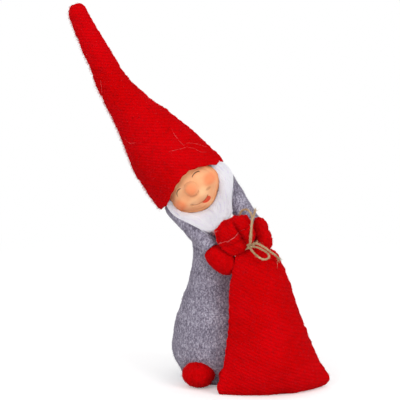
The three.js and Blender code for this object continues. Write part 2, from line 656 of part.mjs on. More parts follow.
const tieRoom = ball(NECK_TIE, NECK_BALL_RADIUS + 2 * TWINE_RADIUS + 2 * GAP, BALL_SIDES);
const swingRoom = sweptBySwing(join(...mittenCuts));
const sackRoom = [bodyCut, footForm(RIGHT_FOOT, GAP), footForm(LEFT_FOOT, GAP), tieRoom, swingRoom, underFloor];
const sackSkin = sackForm(0).subtract(sackForm(-SACK_WOOL));
function seamHalf(sign) {
  const geometry = new THREE.BoxGeometry(260, 130, 260);
  geometry.translate(0, sign * (65 + GAP / 2), 0);
  geometry.rotateX(-Math.atan2(12, 104));
  geometry.rotateZ(sackTurn);
  geometry.translate(54, -39, 0);
  return toSolid(geometry);
}
place(sack, "sack_front", carve(sackSkin.intersect(seamHalf(-1)), ...sackRoom), RED_WOOL);
place(sack, "sack_back", carve(sackSkin.intersect(seamHalf(1)), ...sackRoom), RED_WOOL);
place(sack, "sack_filling", carve(sackForm(-SACK_WOOL - GAP), ...sackRoom), WADDING);

// Beard: a thick pad of combed fibre round the face, lying on the chest and the arms
const beardOutline = frontPlate([
  [16, 33], [20.4, 27], [23.8, 19.5], [24.5, 11.1], [23.6, -0.4], [25.1, -6.8], [21.4, -12.1], [11.8, -18.6],
  [5.9, -18.9], [-0.7, -16.8], [-11, -13.6], [-19.2, -10.9], [-26.4, -4.7], [-24, 6], [0, 24],
].map(([x, rise]) => [x, overNeck(rise)]), -60, 4);
const beardRound = ellipsoid([1, -7, overNeck(5)], [29.3, 20.5, 31.3], { sides: 16 });
place(torso, "beard", carve(
  beardOutline.intersect(beardRound), faceWindow(-1), headCut, faceForm(GAP), hatCut, bodyCut, ...sleeveCuts,
  ...mittenCuts, mouthWhole(2 * GAP), ...twineCuts), WHITE_HAIR);

export default everything;
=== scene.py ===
"""A fabric christmas gnome, dressed over its measured frame.

Each sub-assembly is a class that works its surfaces out with numpy and gives them their finish.
Lengths are millimetres in the figure's own drawing frame (+Z up, -Y towards the viewer) until a
mesh is written, which is in metres in the row frame.
"""

from __future__ import annotations

import logging
import math
from dataclasses import dataclass, field
from enum import Enum
from typing import Any, Sequence

import bpy
import numpy as np
from mathutils import Matrix, Vector

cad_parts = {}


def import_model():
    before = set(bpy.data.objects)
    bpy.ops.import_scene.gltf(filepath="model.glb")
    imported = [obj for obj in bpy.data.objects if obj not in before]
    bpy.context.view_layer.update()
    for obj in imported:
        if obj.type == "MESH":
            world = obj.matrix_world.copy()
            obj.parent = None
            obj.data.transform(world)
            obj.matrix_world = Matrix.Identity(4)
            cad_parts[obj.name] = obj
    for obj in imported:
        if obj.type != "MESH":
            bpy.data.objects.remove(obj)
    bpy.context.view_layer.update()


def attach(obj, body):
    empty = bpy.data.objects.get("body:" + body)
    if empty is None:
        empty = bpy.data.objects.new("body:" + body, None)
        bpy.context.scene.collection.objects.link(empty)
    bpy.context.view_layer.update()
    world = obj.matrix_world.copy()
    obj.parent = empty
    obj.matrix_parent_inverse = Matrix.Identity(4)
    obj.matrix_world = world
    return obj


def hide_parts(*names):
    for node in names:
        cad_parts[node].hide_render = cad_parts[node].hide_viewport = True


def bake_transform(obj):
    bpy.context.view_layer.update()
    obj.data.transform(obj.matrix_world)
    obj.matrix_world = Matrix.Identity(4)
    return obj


Array = np.ndarray
Pair = tuple[float, float]
Triple = tuple[float, float, float]
Geometry = tuple[Array, list[Array]]
log = logging.getLogger("gnome")

FIGURE_SHIFT = np.array([-0.5, 13.2, 0.0])
NECK_HEIGHT = 136.0
NECK_TIE = np.array([35.2, -27.0, 106.5])
HEAD_CENTRE = np.array([-4.5, 0.0, NECK_HEIGHT + 12.3])
FLOOR_GAP = 0.02

# The face's features, in millimetres to the right of its middle and down from there; an arc's
# circle has its radius last.
NOSE = (0.9, -1.9)
SMILE = (0.7, -1.1, 12.45)
LEFT_EYE = (-6.9, -2.0, 4.6)
RIGHT_EYE = (9.3, -4.0, 5.3)


class Body(Enum):
    """The rigid groups that pieces ride on."""

    TORSO = "torso"
    HAT_TIP = "hat_tip"
    SACK = "sack"


class Slot(Enum):
    """The record's material slots."""

    GREY_FELT = "grey_felt"
    RED_KNIT = "red_knit"
    RED_FELT = "red_felt"
    WADDING = "wadding"
    BEARD = "beard_fibre"
    SKIN = "doll_skin"
    FOAM = "head_foam"
    BOARD = "base_board"
    CANVAS = "ballast_canvas"
    WIRE = "steel_wire"
    JUTE = "jute_twine"


# Numbers and curves


def row_frame(points: Array) -> Array:
    """Drawing millimetres to metres in the row frame."""
    return (np.asarray(points, float) + FIGURE_SHIFT) / 1000.0


def unit(vectors: Array) -> Array:
    """Each vector at length one."""
    return vectors / np.maximum(np.linalg.norm(vectors, axis=-1, keepdims=True), 1e-9)


def smooth(low: float, high: float, value: Array) -> Array:
    """Zero below low, one above high, and an s-shaped rise (3x^2 - 2x^3) between them."""
    x = np.clip((np.asarray(value, float) - low) / (high - low), 0, 1)
    return x * x * (3 - 2 * x)


def hill(offset: Array, width: float) -> Array:
    """A round hill, one at its middle: exp(-(offset / width)^2)."""
    return np.exp(-(offset / width) ** 2)


def spline(points: Array, t: Array, centripetal: bool = True) -> Array:
    """A smooth curve through points.

    Each span is a cubic whose end slopes come from the neighbouring points, spaced by the
    square root of their distance when centripetal and evenly otherwise.

    Args:
        points: k points of any dimension.
        t: where along the curve, 0 to 1, with equal steps from point to point.
        centripetal: spacing by distance.

    Returns:
        The curve's points, with t's shape and one more axis.
    """
    points = np.asarray(points, float)
    padded = np.vstack([2 * points[0] - points[1], points, 2 * points[-1] - points[-2]])
    place = np.clip(np.asarray(t, float), 0, 1) * (len(points) - 1)
    span = np.minimum(place.astype(int), len(points) - 2)
    w = (place - span)[..., None]
    p0, p1, p2, p3 = (padded[span + k] for k in range(4))
    if centripetal:
        d0, d1, d2 = (np.maximum(np.linalg.norm(b - a, axis=-1, keepdims=True) ** 0.5, 1e-4)
                      for a, b in ((p0, p1), (p1, p2), (p2, p3)))
        s1 = ((p1 - p0) / d0 - (p2 - p0) / (d0 + d1) + (p2 - p1) / d1) * d1
        s2 = ((p2 - p1) / d1 - (p3 - p1) / (d1 + d2) + (p3 - p2) / d2) * d1
    else:
        s1, s2 = (p2 - p0) / 2, (p3 - p1) / 2
    return (p1 + s1 * w + (-3 * p1 + 3 * p2 - 2 * s1 - s2) * w ** 2
            + (2 * p1 - 2 * p2 + s1 + s2) * w ** 3)


def ripple(points: Array, length: float, seed: int, waves: int = 9) -> Array:
    """Soft irregular noise from -1 to 1: the mean of sine waves of about one wavelength in
    random directions, worked out for all points together.

    Args:
        points: positions, in millimetres.
        length: the wavelength.
        seed: picks the directions and phases.
        waves: how many waves are mixed.

    Returns:
        The noise at each point.
    """
    rng = np.random.default_rng(seed)
    ways = unit(rng.normal(size=(waves, 3))) * (2 * math.pi / length) * rng.uniform(0.6, 1.5, (waves, 1))
    phases = rng.uniform(0, 2 * math.pi, waves)
    return np.sin(points @ ways.T + phases).sum(-1) / math.sqrt(waves * 0.5) / 2.2


def grid_normals(points: Array) -> Array:
    """Outward normals of a wrapped grid whose columns run anticlockwise and whose rows run
    upwards: the cross product of the steps around and along."""
    around = np.roll(points, -1, 1) - np.roll(points, 1, 1)
    return unit(np.cross(around, np.gradient(points, axis=0)))


def grid_quads(rows: int, columns: int, wrap: bool = True) -> Array:
    """Corner numbers of the quads between neighbouring rows and columns of a grid.

    Args:
        rows: rows of points.
        columns: points in a row.
        wrap: true where the last column joins the first.

    Returns:
        Four corner numbers for each quad.
    """
    r = np.arange(rows - 1)[:, None]
    c = np.arange(columns if wrap else columns - 1)[None, :]
    a, b = r * columns + c, r * columns + (c + 1) % columns
    return np.stack([a, b, b + columns, a + columns], -1).reshape(-1, 4)


def write_mesh(name: str, shape: Shell | Geometry, tags: dict[str, Array] | None = None) -> bpy.types.Mesh:
    """Puts whole arrays into a new mesh.

    Args:
        name: the mesh's name.
        shape: a shell, or drawing points with arrays of corner numbers, one for each count.
        tags: vectors kept at the points as named attributes, where the shape isn't a shell.

    Returns:
        The mesh, in metres in the row frame.
    """
    if isinstance(shape, Shell):
        tags = shape.tags()
        shape = shape.parts()
    points, faces = shape
    mesh = bpy.data.meshes.new(name)
    faces = [f.astype(np.int32) for f in faces if len(f)]
    corners = np.concatenate([f.ravel() for f in faces])
    counts = np.concatenate([np.full(len(f), f.shape[1]) for f in faces])
    starts = np.concatenate([[0], np.cumsum(counts)[:-1]])
    mesh.vertices.add(len(points))
    mesh.vertices.foreach_set("co", row_frame(points).astype(np.float32).ravel())
    mesh.loops.add(len(corners))
    mesh.loops.foreach_set("vertex_index", corners)
    mesh.polygons.add(len(counts))
    mesh.polygons.foreach_set("loop_start", starts.astype(np.int32))
    mesh.polygons.foreach_set("use_smooth", np.ones(len(counts), bool))
    mesh.update(calc_edges=True)
    for key, values in (tags or {}).items():
        data = mesh.attributes.new(key, "FLOAT_VECTOR", "POINT").data
        data.foreach_set("vector", values.astype(np.float32).ravel())
    mesh.validate()
    return mesh


@dataclass(frozen=True)
class Shell:
    """A closed surface from a wrapped grid of rows and columns, with a pole at each end."""

    grid: Array
    tag: Array | None = None
    tag_name: str = "cloth_at"

    def parts(self) -> Geometry:
        """The grid's quads, and a fan to the mean point of each end row.

        Returns:
            Points and faces.
        """
        rows, columns = self.grid.shape[:2]
        poles = np.stack([self.grid[0].mean(0), self.grid[-1].mean(0)])
        points = np.vstack([self.grid.reshape(-1, 3), poles])
        c = np.arange(columns)
        n, last = rows * columns, (rows - 1) * columns
        low = np.stack([np.full(columns, n), (c + 1) % columns, c], -1)
        high = np.stack([np.full(columns, n + 1), last + c, last + (c + 1) % columns], -1)
        return points, [grid_quads(rows, columns), np.vstack([low, high])]

    def tags(self) -> dict[str, Array]:
        """The tag at each point, and its mean at the poles.

        Returns:
            The tags under their name, or nothing.
        """
        if self.tag is None:
            return {}
        ends = np.stack([self.tag[0].mean(0), self.tag[-1].mean(0)])
        return {self.tag_name: np.vstack([self.tag.reshape(-1, 3), ends])}


@dataclass(frozen=True)
class SoftForm:
    """Rings strung along a smooth path, as a stuffed tube of cloth swells and tapers.

    A station is x, y, z, half width, half depth and how pointed its two side edges are.
    """

    stations: Array
    sideways: Array = field(default_factory=lambda: np.array([0.0, 1.0, 0.0]))
    level: bool = False

    def frames(self, t: Array) -> tuple[Array, Array, Array, Array]:
        """The rings' places and sizes; the front is square to the path and the width.

        Args:
            t: where along the path, 0 to 1.

        Returns:
            Centres, width directions, front directions and section sizes.
        """
        table = np.asarray(self.stations, float)
        centre = spline(table[:, :3], t)
        sizes = spline(table[:, 3:6], t, centripetal=False)
        if self.level:
            along = np.broadcast_to([0.0, 0.0, 1.0], centre.shape)
        else:
            ahead, behind = (spline(table[:, :3], np.asarray(t) + step) for step in (2e-3, -2e-3))
            along = unit(ahead - behind)
        across = unit(np.cross(self.sideways, along))
        return centre, across, unit(np.cross(across, along)), sizes

    def at(self, t: Array, angle: Array, grow: float | Array = 0.0) -> Array:
        """Points of the form: across = width * sin(angle), front = depth * cos(angle) *
        |cos(angle)| ** point.

        Args:
            t: where along the path, 0 to 1.
            angle: round the ring from the front, anticlockwise from above, in radians.
            grow: how far the ring is swollen, in millimetres.

        Returns:
            The points.
        """
        t, angle = np.broadcast_arrays(np.asarray(t, float), np.asarray(angle, float))
        centre, across, front, sizes = self.frames(t)
        wide = np.maximum(sizes[..., 0] + grow, 0.05) * np.sin(angle)
        point = np.maximum(sizes[..., 2], 0)
        deep = np.maximum(sizes[..., 1] + grow, 0.05) * np.cos(angle) * np.abs(np.cos(angle)) ** point
        return centre + across * wide[..., None] + front * deep[..., None]


def ring_angles(count: int) -> Array:
    """Angles of a ring's columns, from the back round by the front."""
    return np.linspace(-math.pi, math.pi, count, endpoint=False)


def tubes(paths: Array, radii: Array, flat: float = 1.0) -> Geometry:
    """Many thin three-sided tubes at once, one along each path, flat at the root and pointed.

    A ring at each path point is centre + r cos(a) * side + r sin(a) * flat * top, where side
    is square to the path and to a fixed direction that depends on the path.

    Args:
        paths: n x s x 3 points.
        radii: radius at each point but the last, broadcast to n x s.
        flat: depth of the section over its width.

    Returns:
        Points and faces.
    """
    sides = 3
    count, steps = paths.shape[:2]
    radii = np.broadcast_to(radii, (count, steps))
    along = unit(np.gradient(paths, axis=1))
    mean = unit(paths[:, -1:] - paths[:, :1] + 1e-6)
    guide = np.where(np.abs(mean[..., 1:2]) < 0.8, np.array([0.0, 1.0, 0.0]), np.array([1.0, 0.0, 0.0]))
    side = unit(np.cross(along, guide))
    top = np.cross(side, along)
    turn = np.arange(sides) / sides * 2 * math.pi
    ring = (side[:, :, None] * np.cos(turn)[:, None] + top[:, :, None] * (flat * np.sin(turn))[:, None])
    rings = (paths[:, :-1, None] + (ring * radii[:, :, None, None])[:, :-1]).reshape(count, -1, 3)
    points = np.concatenate([rings, paths[:, -1:]], 1)
    size = points.shape[1]
    base = (np.arange(count) * size)[:, None, None]
    quads = grid_quads(steps - 1, sides)[:, ::-1]
    c = np.arange(sides)
    last = (steps - 2) * sides
    tip = np.stack([np.full(sides, size - 1), last + (c + 1) % sides, last + c], -1)
    ends = np.vstack([tip, c[None]])
    return points.reshape(-1, 3), [(quads[None] + base).reshape(-1, 4), (ends[None] + base).reshape(-1, 3)]


def scatter(grid: Array, count: int, seed: int) -> tuple[Array, Array]:
    """Random places spread evenly over a wrapped grid.

    A cell is drawn in proportion to its area, and a point in it is the bilinear mix of its
    corners.

    Args:
        grid: rows x columns x 3 points.
        count: how many places.
        seed: of the random numbers.

    Returns:
        Places and outward normals.
    """
    rng = np.random.default_rng(seed)
    right = np.roll(grid, -1, 1)
    area = np.linalg.norm(np.cross(right[:-1] - grid[:-1], grid[1:] - grid[:-1]), axis=-1)
    cell = rng.choice(area.size, count, p=(area / area.sum()).ravel())
    r, c = np.unravel_index(cell, area.shape)
    a, b = rng.random((2, count, 1))
    normals = grid_normals(grid)
    low = grid[r, c] * (1 - a) + right[r, c] * a
    high = grid[r + 1, c] * (1 - a) + right[r + 1, c] * a
    return low * (1 - b) + high * b, normals[r, c]


def nap(roots: Array, normals: Array, length: float, radius: float, seed: int, lie: float = 0.8,
        drift: Array | None = None) -> Geometry:
    """Short loose fibres: each root sends out a curved spike that leans along the cloth.

    Args:
        roots: where the fibres grow.
        normals: outward directions there.
        length: mean fibre length.
        radius: fibre radius at its root.
        seed: of the random numbers.
        lie: how far the fibres lie down, 0 to 1.
        drift: a direction that the fibres are brushed in.

    Returns:
        Points and faces.
    """
    rng = np.random.default_rng(seed)
    count = len(roots)
    aside = unit(np.cross(normals, rng.normal(size=(count, 3))))
    if drift is not None:
        aside = unit(aside + 1.6 * drift)
    long = length * rng.uniform(0.45, 1.5, (count, 1))
    middle = roots + long * (normals * (0.55 - 0.25 * lie) + aside * 0.4 * lie)
    tip = middle + long * (normals * 0.3 * (1 - lie) + aside * 0.5 + 0.2 * rng.normal(size=(count, 3)))
    paths = np.stack([roots - normals * 0.15, middle, tip], 1)
    paths[..., 2] = np.maximum(paths[..., 2], 0.15)
    return tubes(paths, np.array([radius, radius * 0.8, 0.0]))


def together(*parts: Geometry) -> Geometry:
    """Several point and face sets as one.

    Args:
        parts: point and face sets.

    Returns:
        Points and faces.
    """
    points, faces, start = [], [], 0
    for some, sets in parts:
        points.append(some)
        faces += [f + start for f in sets]
        start += len(some)
    return np.vstack(points), faces


# Shader maths


class Value:
    """A number in a material's nodes that takes part in Python arithmetic."""

    def __init__(self, shader: Shader, socket: Any) -> None:
        """Wraps an output socket of a shader's node."""
        self.shader = shader
        self.socket = socket

    def math(self, operation: str, *others: Any, first: Any = None) -> Value:
        """Adds a Math node on this value and others, after first if that is given."""
        values = [self, *others] if first is None else [first, self, *others]
        node = self.shader.node("ShaderNodeMath", {"operation": operation}, dict(enumerate(values)))
        return Value(self.shader, node.outputs[0])

    def __add__(self, other: Any) -> Value:
        """Sum."""
        return self.math("ADD", other)

    __radd__ = __add__

    def __sub__(self, other: Any) -> Value:
        """Difference."""
        return self.math("SUBTRACT", other)

    def __rsub__(self, other: Any) -> Value:
        """Difference from a number on the left."""
        return self.math("SUBTRACT", first=other)

    def __mul__(self, other: Any) -> Value:
        """Product."""
        return self.math("MULTIPLY", other)

    __rmul__ = __mul__

    def __truediv__(self, other: Any) -> Value:
        """Quotient."""
        return self.math("DIVIDE", other)

    def __rtruediv__(self, other: Any) -> Value:
        """A number on the left over this."""
        return self.math("DIVIDE", first=other)

    def __pow__(self, other: Any) -> Value:
        """Power."""
        return self.math("POWER", other)

    def __abs__(self) -> Value:
        """Size without sign."""
        return self.math("ABSOLUTE")

    def sine(self) -> Value:
        """Sine, of radians."""
        return self.math("SINE")

    def fraction(self) -> Value:
        """What is left after the whole number."""
        return self.math("FRACT")

    def most(self, other: Any) -> Value:
        """The larger of two."""
        return self.math("MAXIMUM", other)

    def step(self, low: float, high: float) -> Value:
        """A smooth rise from 0 at low to 1 at high, or a fall where high is the smaller.

        Args:
            low: where it starts.
            high: where it ends.

        Returns:
            The rise.
        """
        node = self.shader.node(
            "ShaderNodeMapRange", {"interpolation_type": "SMOOTHSTEP"},
            {"Value": self, "From Min": low, "From Max": high, "To Min": 0.0, "To Max": 1.0})
        return Value(self.shader, node.outputs[0])


class Shader:
    """One material, or the world, and the nodes that make it."""

    def __init__(self, name: str, world: bool = False) -> None:
        """Starts a material or a world with only its output.

        Args:
            name: the material's name.
            world: true for the air round the figure.
        """
        self.material = (bpy.data.worlds if world else bpy.data.materials).new(name)
        self.material.use_nodes = True
        self.tree = self.material.node_tree
        self.tree.nodes.clear()
        self.output = self.tree.nodes.new("ShaderNodeOutputWorld" if world else "ShaderNodeOutputMaterial")

    def node(self, kind: str, settings: dict[str, Any] | None = None,
             sockets: dict[Any, Any] | None = None) -> bpy.types.Node:
        """Adds any node.

        Args:
            kind: the node's type.
            settings: its own settings, set first. stops are a colour ramp's places and colours.
            sockets: value or link for each input, by name or number.

        Returns:
            The node.
        """
        node = self.tree.nodes.new(kind)
        for key, value in (settings or {}).items():
            if key == "stops":
                ramp = node.color_ramp
                while len(ramp.elements) < len(value):
                    ramp.elements.new(1.0)
                for element, (place, colour) in zip(ramp.elements, value):
                    element.position = place
                    element.color = (*colour, 1.0)
            else:
                setattr(node, key, value)
        for key, value in (sockets or {}).items():
            socket = node.inputs[key]
            if isinstance(value, Value):
                self.tree.links.new(value.socket, socket)
            elif isinstance(value, bpy.types.NodeSocket):
                self.tree.links.new(value, socket)
            else:
                socket.default_value = value
        return node

    def place(self) -> bpy.types.NodeSocket:
        """Object coordinates."""
        return self.node("ShaderNodeTexCoord").outputs["Object"]

    def tagged(self, name: str) -> bpy.types.NodeSocket:
        """A vector kept at the piece's points."""
        return self.node("ShaderNodeAttribute", {"attribute_name": name}).outputs["Vector"]

    def axes(self, vector: Any) -> tuple[Value, Value, Value]:
        """A vector's three numbers."""
        split = self.node("ShaderNodeSeparateXYZ", None, {0: vector})
        return tuple(Value(self, split.outputs[i]) for i in range(3))

    def noise(self, vector: Any, scale: float, detail: float = 2.0, rough: float = 0.5,
              stretch: Triple | None = None) -> Value:
        """Noise from 0 to 1 with scale waves to the metre, stretched if that is given.

        Args:
            vector: the place that it is read at.
            scale: waves to the metre.
            detail: finer layers.
            rough: their share.
            stretch: factor on each axis.

        Returns:
            The noise.
        """
        if stretch:
            vector = self.node("ShaderNodeMapping", None, {"Vector": vector, "Scale": stretch}).outputs[0]
        node = self.node("ShaderNodeTexNoise", None,
                         {"Vector": vector, "Scale": scale, "Detail": detail, "Roughness": rough})
        return Value(self, node.outputs[0])

    def mix(self, factor: Any, first: Any, second: Any) -> bpy.types.NodeSocket:
        """A colour between two colours."""
        first, second = (c if isinstance(c, bpy.types.NodeSocket) else (*c, 1.0) for c in (first, second))
        node = self.node("ShaderNodeMix", {"data_type": "RGBA"}, {0: factor, 6: first, 7: second})
        return node.outputs[2]

    def ramp(self, factor: Value, stops: Sequence[tuple[float, Sequence[float]]]) -> bpy.types.NodeSocket:
        """A colour looked up along stops."""
        return self.node("ShaderNodeValToRGB", {"stops": stops}, {0: factor}).outputs[0]

    def bump(self, height: Value, depth: float, strength: float = 1.0) -> bpy.types.NodeSocket:
        """A normal from a height of 0 to 1 over depth metres."""
        return self.node("ShaderNodeBump", None,
                         {"Height": height, "Distance": depth, "Strength": strength}).outputs[0]

    def straight(self) -> Value:
        """One where the camera, a gloss or glass looks, and zero where light is gathered."""
        rays = self.node("ShaderNodeLightPath").outputs
        seen = [Value(self, rays[name]) for name in ("Is Camera Ray", "Is Glossy Ray", "Is Transmission Ray")]
        return seen[0].most(seen[1]).most(seen[2])

    def close(self, surface: bpy.types.Node) -> Any:
        """Ends the tree with a surface and gives what it belongs to."""
        self.tree.links.new(surface.outputs[0], self.output.inputs[0])
        return self.material

    def principled(self, **sockets: Any) -> bpy.types.Material:
        """Ends the material with a Principled shader; underscores stand for spaces.

        Args:
            sockets: a value or link for each named input.

        Returns:
            The material.
        """
        named = {key.replace("_", " "): value for key, value in sockets.items()}
        for key in ("Base Color", "Sheen Tint"):
            if isinstance(named.get(key), tuple) and len(named[key]) == 3:
                named[key] = (*named[key], 1.0)
        return self.close(self.node("ShaderNodeBsdfPrincipled", None, named))


def srgb(red: float, green: float, blue: float) -> Triple:
    """A screen colour, 0 to 255, as linear light."""
    shares = np.array([red, green, blue]) / 255
    linear = np.where(shares <= 0.04045, shares / 12.92, ((shares + 0.055) / 1.055) ** 2.4)
    return tuple(float(v) for v in linear)


# Finishes


@dataclass(frozen=True)
class KnitWool:
    """Fulled red wool knit: faint courses of small loops under a short nap."""

    name: str
    course: float
    slope: float
    colour: Triple = srgb(198, 0, 3)
    bright: Triple = srgb(209, 1, 8)
    # Painted shade: the darker red in the grooves between loops.
    groove_shade: Triple = srgb(166, 0, 1)

    def material(self) -> bpy.types.Material:
        """Courses are planes that slope by slope; each loop is a slanted swell on its course. The grooves
        between loops are darkened as painted shade, and pale flecks are painted as highlights where the fuzz
        catches the light.

        Returns:
            The material.
        """
        s = Shader(self.name)
        place = s.place()
        x, y, z = s.axes(place)
        wander = s.noise(place, 55.0, 2.0) * 0.0016
        row = (z + x * self.slope + wander) / self.course
        stitch = (x - z * self.slope + y * 0.4 + wander) / (self.course * 0.85)
        zigzag = abs(stitch.fraction() - 0.5) * 0.5
        loops = abs(((row + zigzag).fraction() - 0.5) * 2.0)
        wales = abs((stitch.fraction() - 0.5) * 2.0)
        fibre = s.noise(place, 2600.0, 3.0, 0.7)
        felted = s.noise(place, 420.0, 3.0, 0.6)
        patch = s.noise(place, 34.0, 2.0)
        height = (1.0 - loops ** 1.6) * 0.55 + wales * 0.12 + fibre * 0.35 + felted * 0.5
        base = s.mix(patch.step(0.35, 0.68), self.colour, self.bright)
        # Painted shade in the grooves between loops, broken up by fibre noise.
        base = s.mix((loops * 0.55 + fibre * 0.3).step(0.35, 0.95) * 0.55, base, self.groove_shade)
        # Painted highlight: pale pink flecks where the fuzz catches the light.
        pale = s.noise(place, 900.0, 4.0, 0.75, (1.0, 1.0, 0.35)).step(0.66, 0.82) * 0.35
        base = s.mix(pale, base, srgb(224, 14, 30))
        return s.principled(
            Base_Color=base, Roughness=0.95, Specular_IOR_Level=0.03, Sheen_Weight=0.2,
            Sheen_Roughness=0.3, Sheen_Tint=srgb(255, 20, 40), Normal=s.bump(height, 0.0006, 0.85))


@dataclass(frozen=True)
class WoolFelt:
    """Pressed wool felt, mottled with lighter and darker fibres."""

    name: str
    dark: Triple
    middle: Triple
    pale: Triple
    grain: float = 820.0
    relief: float = 0.00035

    def material(self) -> bpy.types.Material:
        """Two stretched noises make flecks along the fibres; a slow one makes patches.

        Returns:
            The material.
        """
        s = Shader(self.name)
        place = s.place()
        flecks = s.noise(place, self.grain, 4.0, 0.72, (1.0, 1.0, 0.55))
        cross = s.noise(place, self.grain * 1.6, 3.0, 0.7, (0.5, 0.8, 1.3))
        patch = s.noise(place, 62.0, 3.0, 0.6)
        tone = flecks * 0.74 + cross * 0.32 + patch * 0.18 - 0.12
        base = s.ramp(tone, [(0.35, self.dark), (0.5, self.middle), (0.65, self.pale)])
        fine = s.noise(place, self.grain * 4.5, 3.0, 0.75)
        height = flecks * 0.6 + fine * 0.5
        return s.principled(
            Base_Color=base, Roughness=0.97, Specular_IOR_Level=0.04, Sheen_Weight=0.12,
            Sheen_Roughness=0.4, Sheen_Tint=self.pale, Normal=s.bump(height, self.relief, 0.8))


@dataclass(frozen=True)
class FibreFinish:
    """Single fibres: a colour that varies a little along and between them."""

    name: str
    low: Triple
    high: Triple
    rough: float = 0.7
    waves: float = 240.0

    def material(self) -> bpy.types.Material:
        """Noise through the tuft picks the tone.

        Returns:
            The material.
        """
        s = Shader(self.name)
        tone = s.noise(s.place(), self.waves, 2.0, 0.6).step(0.3, 0.7)
        fine = s.noise(s.place(), self.waves * 9, 2.0)
        return s.principled(
            Base_Color=s.mix(tone, self.low, self.high), Roughness=fine * 0.2 + self.rough,
            Specular_IOR_Level=0.25)


@dataclass(frozen=True)
class CombedFibre:
    """White combed hair: bright strands with faint lavender streaks along them.

    A faint glow stands for the light that the fibres scatter many times between them.
    strand_at holds a number that differs from strand to strand, and the share of the length.
    """

    name: str = "combed_white"
    high: Triple = srgb(253, 252, 255)
    low: Triple = srgb(214, 208, 228)
    scattered: float = 0.13

    def material(self) -> bpy.types.Material:
        """Noise stretched along the strand picks the tone.

        Returns:
            The material.
        """
        s = Shader(self.name)
        strand = s.tagged("strand_at")
        streak = s.noise(strand, 1.0, 3.0, 0.6, (1.0, 2.2, 1.0))
        tone = streak.step(0.34, 0.56)
        return s.principled(
            Base_Color=s.mix(tone, self.low, self.high), Roughness=0.5, Specular_IOR_Level=0.3,
            Subsurface_Weight=0.6, Subsurface_Radius=(1.0, 1.0, 1.0), Subsurface_Scale=0.004,
            Emission_Color=(1.0, 0.99, 1.0, 1.0), Emission_Strength=self.scattered)


@dataclass(frozen=True)
class JuteFinish:
    """Raw jute: straw brown with paler and darker fibres along the lay."""

    name: str = "jute_lay"

    def material(self) -> bpy.types.Material:
        """cloth_at holds the length along the twine and the place round it, in millimetres.

        Returns:
            The material.
        """
        s = Shader(self.name)
        lay = s.tagged("cloth_at")
        streak = s.noise(lay, 1.6, 4.0, 0.7, (0.6, 3.2, 1.0))
        patch = s.noise(lay, 0.16, 2.0)
        tone = streak * 0.75 + patch * 0.3
        stops = [(0.36, srgb(122, 92, 60)), (0.52, srgb(178, 144, 108)), (0.68, srgb(216, 190, 156))]
        base = s.ramp(tone, stops)
        return s.principled(
            Base_Color=base, Roughness=0.9, Specular_IOR_Level=0.15, Normal=s.bump(streak, 0.00022, 0.8))


@dataclass(frozen=True)
class PlainFinish:
    """A hidden inner piece: one colour broken by its own grain."""

    name: str
    colour: Triple
    grain: float = 300.0
    rough: float = 0.85
    metal: float = 0.0
    stretch: Triple = (1.0, 1.0, 1.0)

    def material(self) -> bpy.types.Material:
        """Noise darkens the colour and lifts the surface a little.

        Returns:
            The material.
        """
        s = Shader(self.name)
        tone = s.noise(s.place(), self.grain, 4.0, 0.65, self.stretch)
        dark = tuple(c * 0.72 for c in self.colour)
        base = s.mix(tone.step(0.3, 0.7), dark, self.colour)
        return s.principled(
            Base_Color=base, Roughness=tone * 0.2 + (self.rough - 0.1), Metallic=self.metal,
            Normal=s.bump(tone, 0.0003, 0.6))


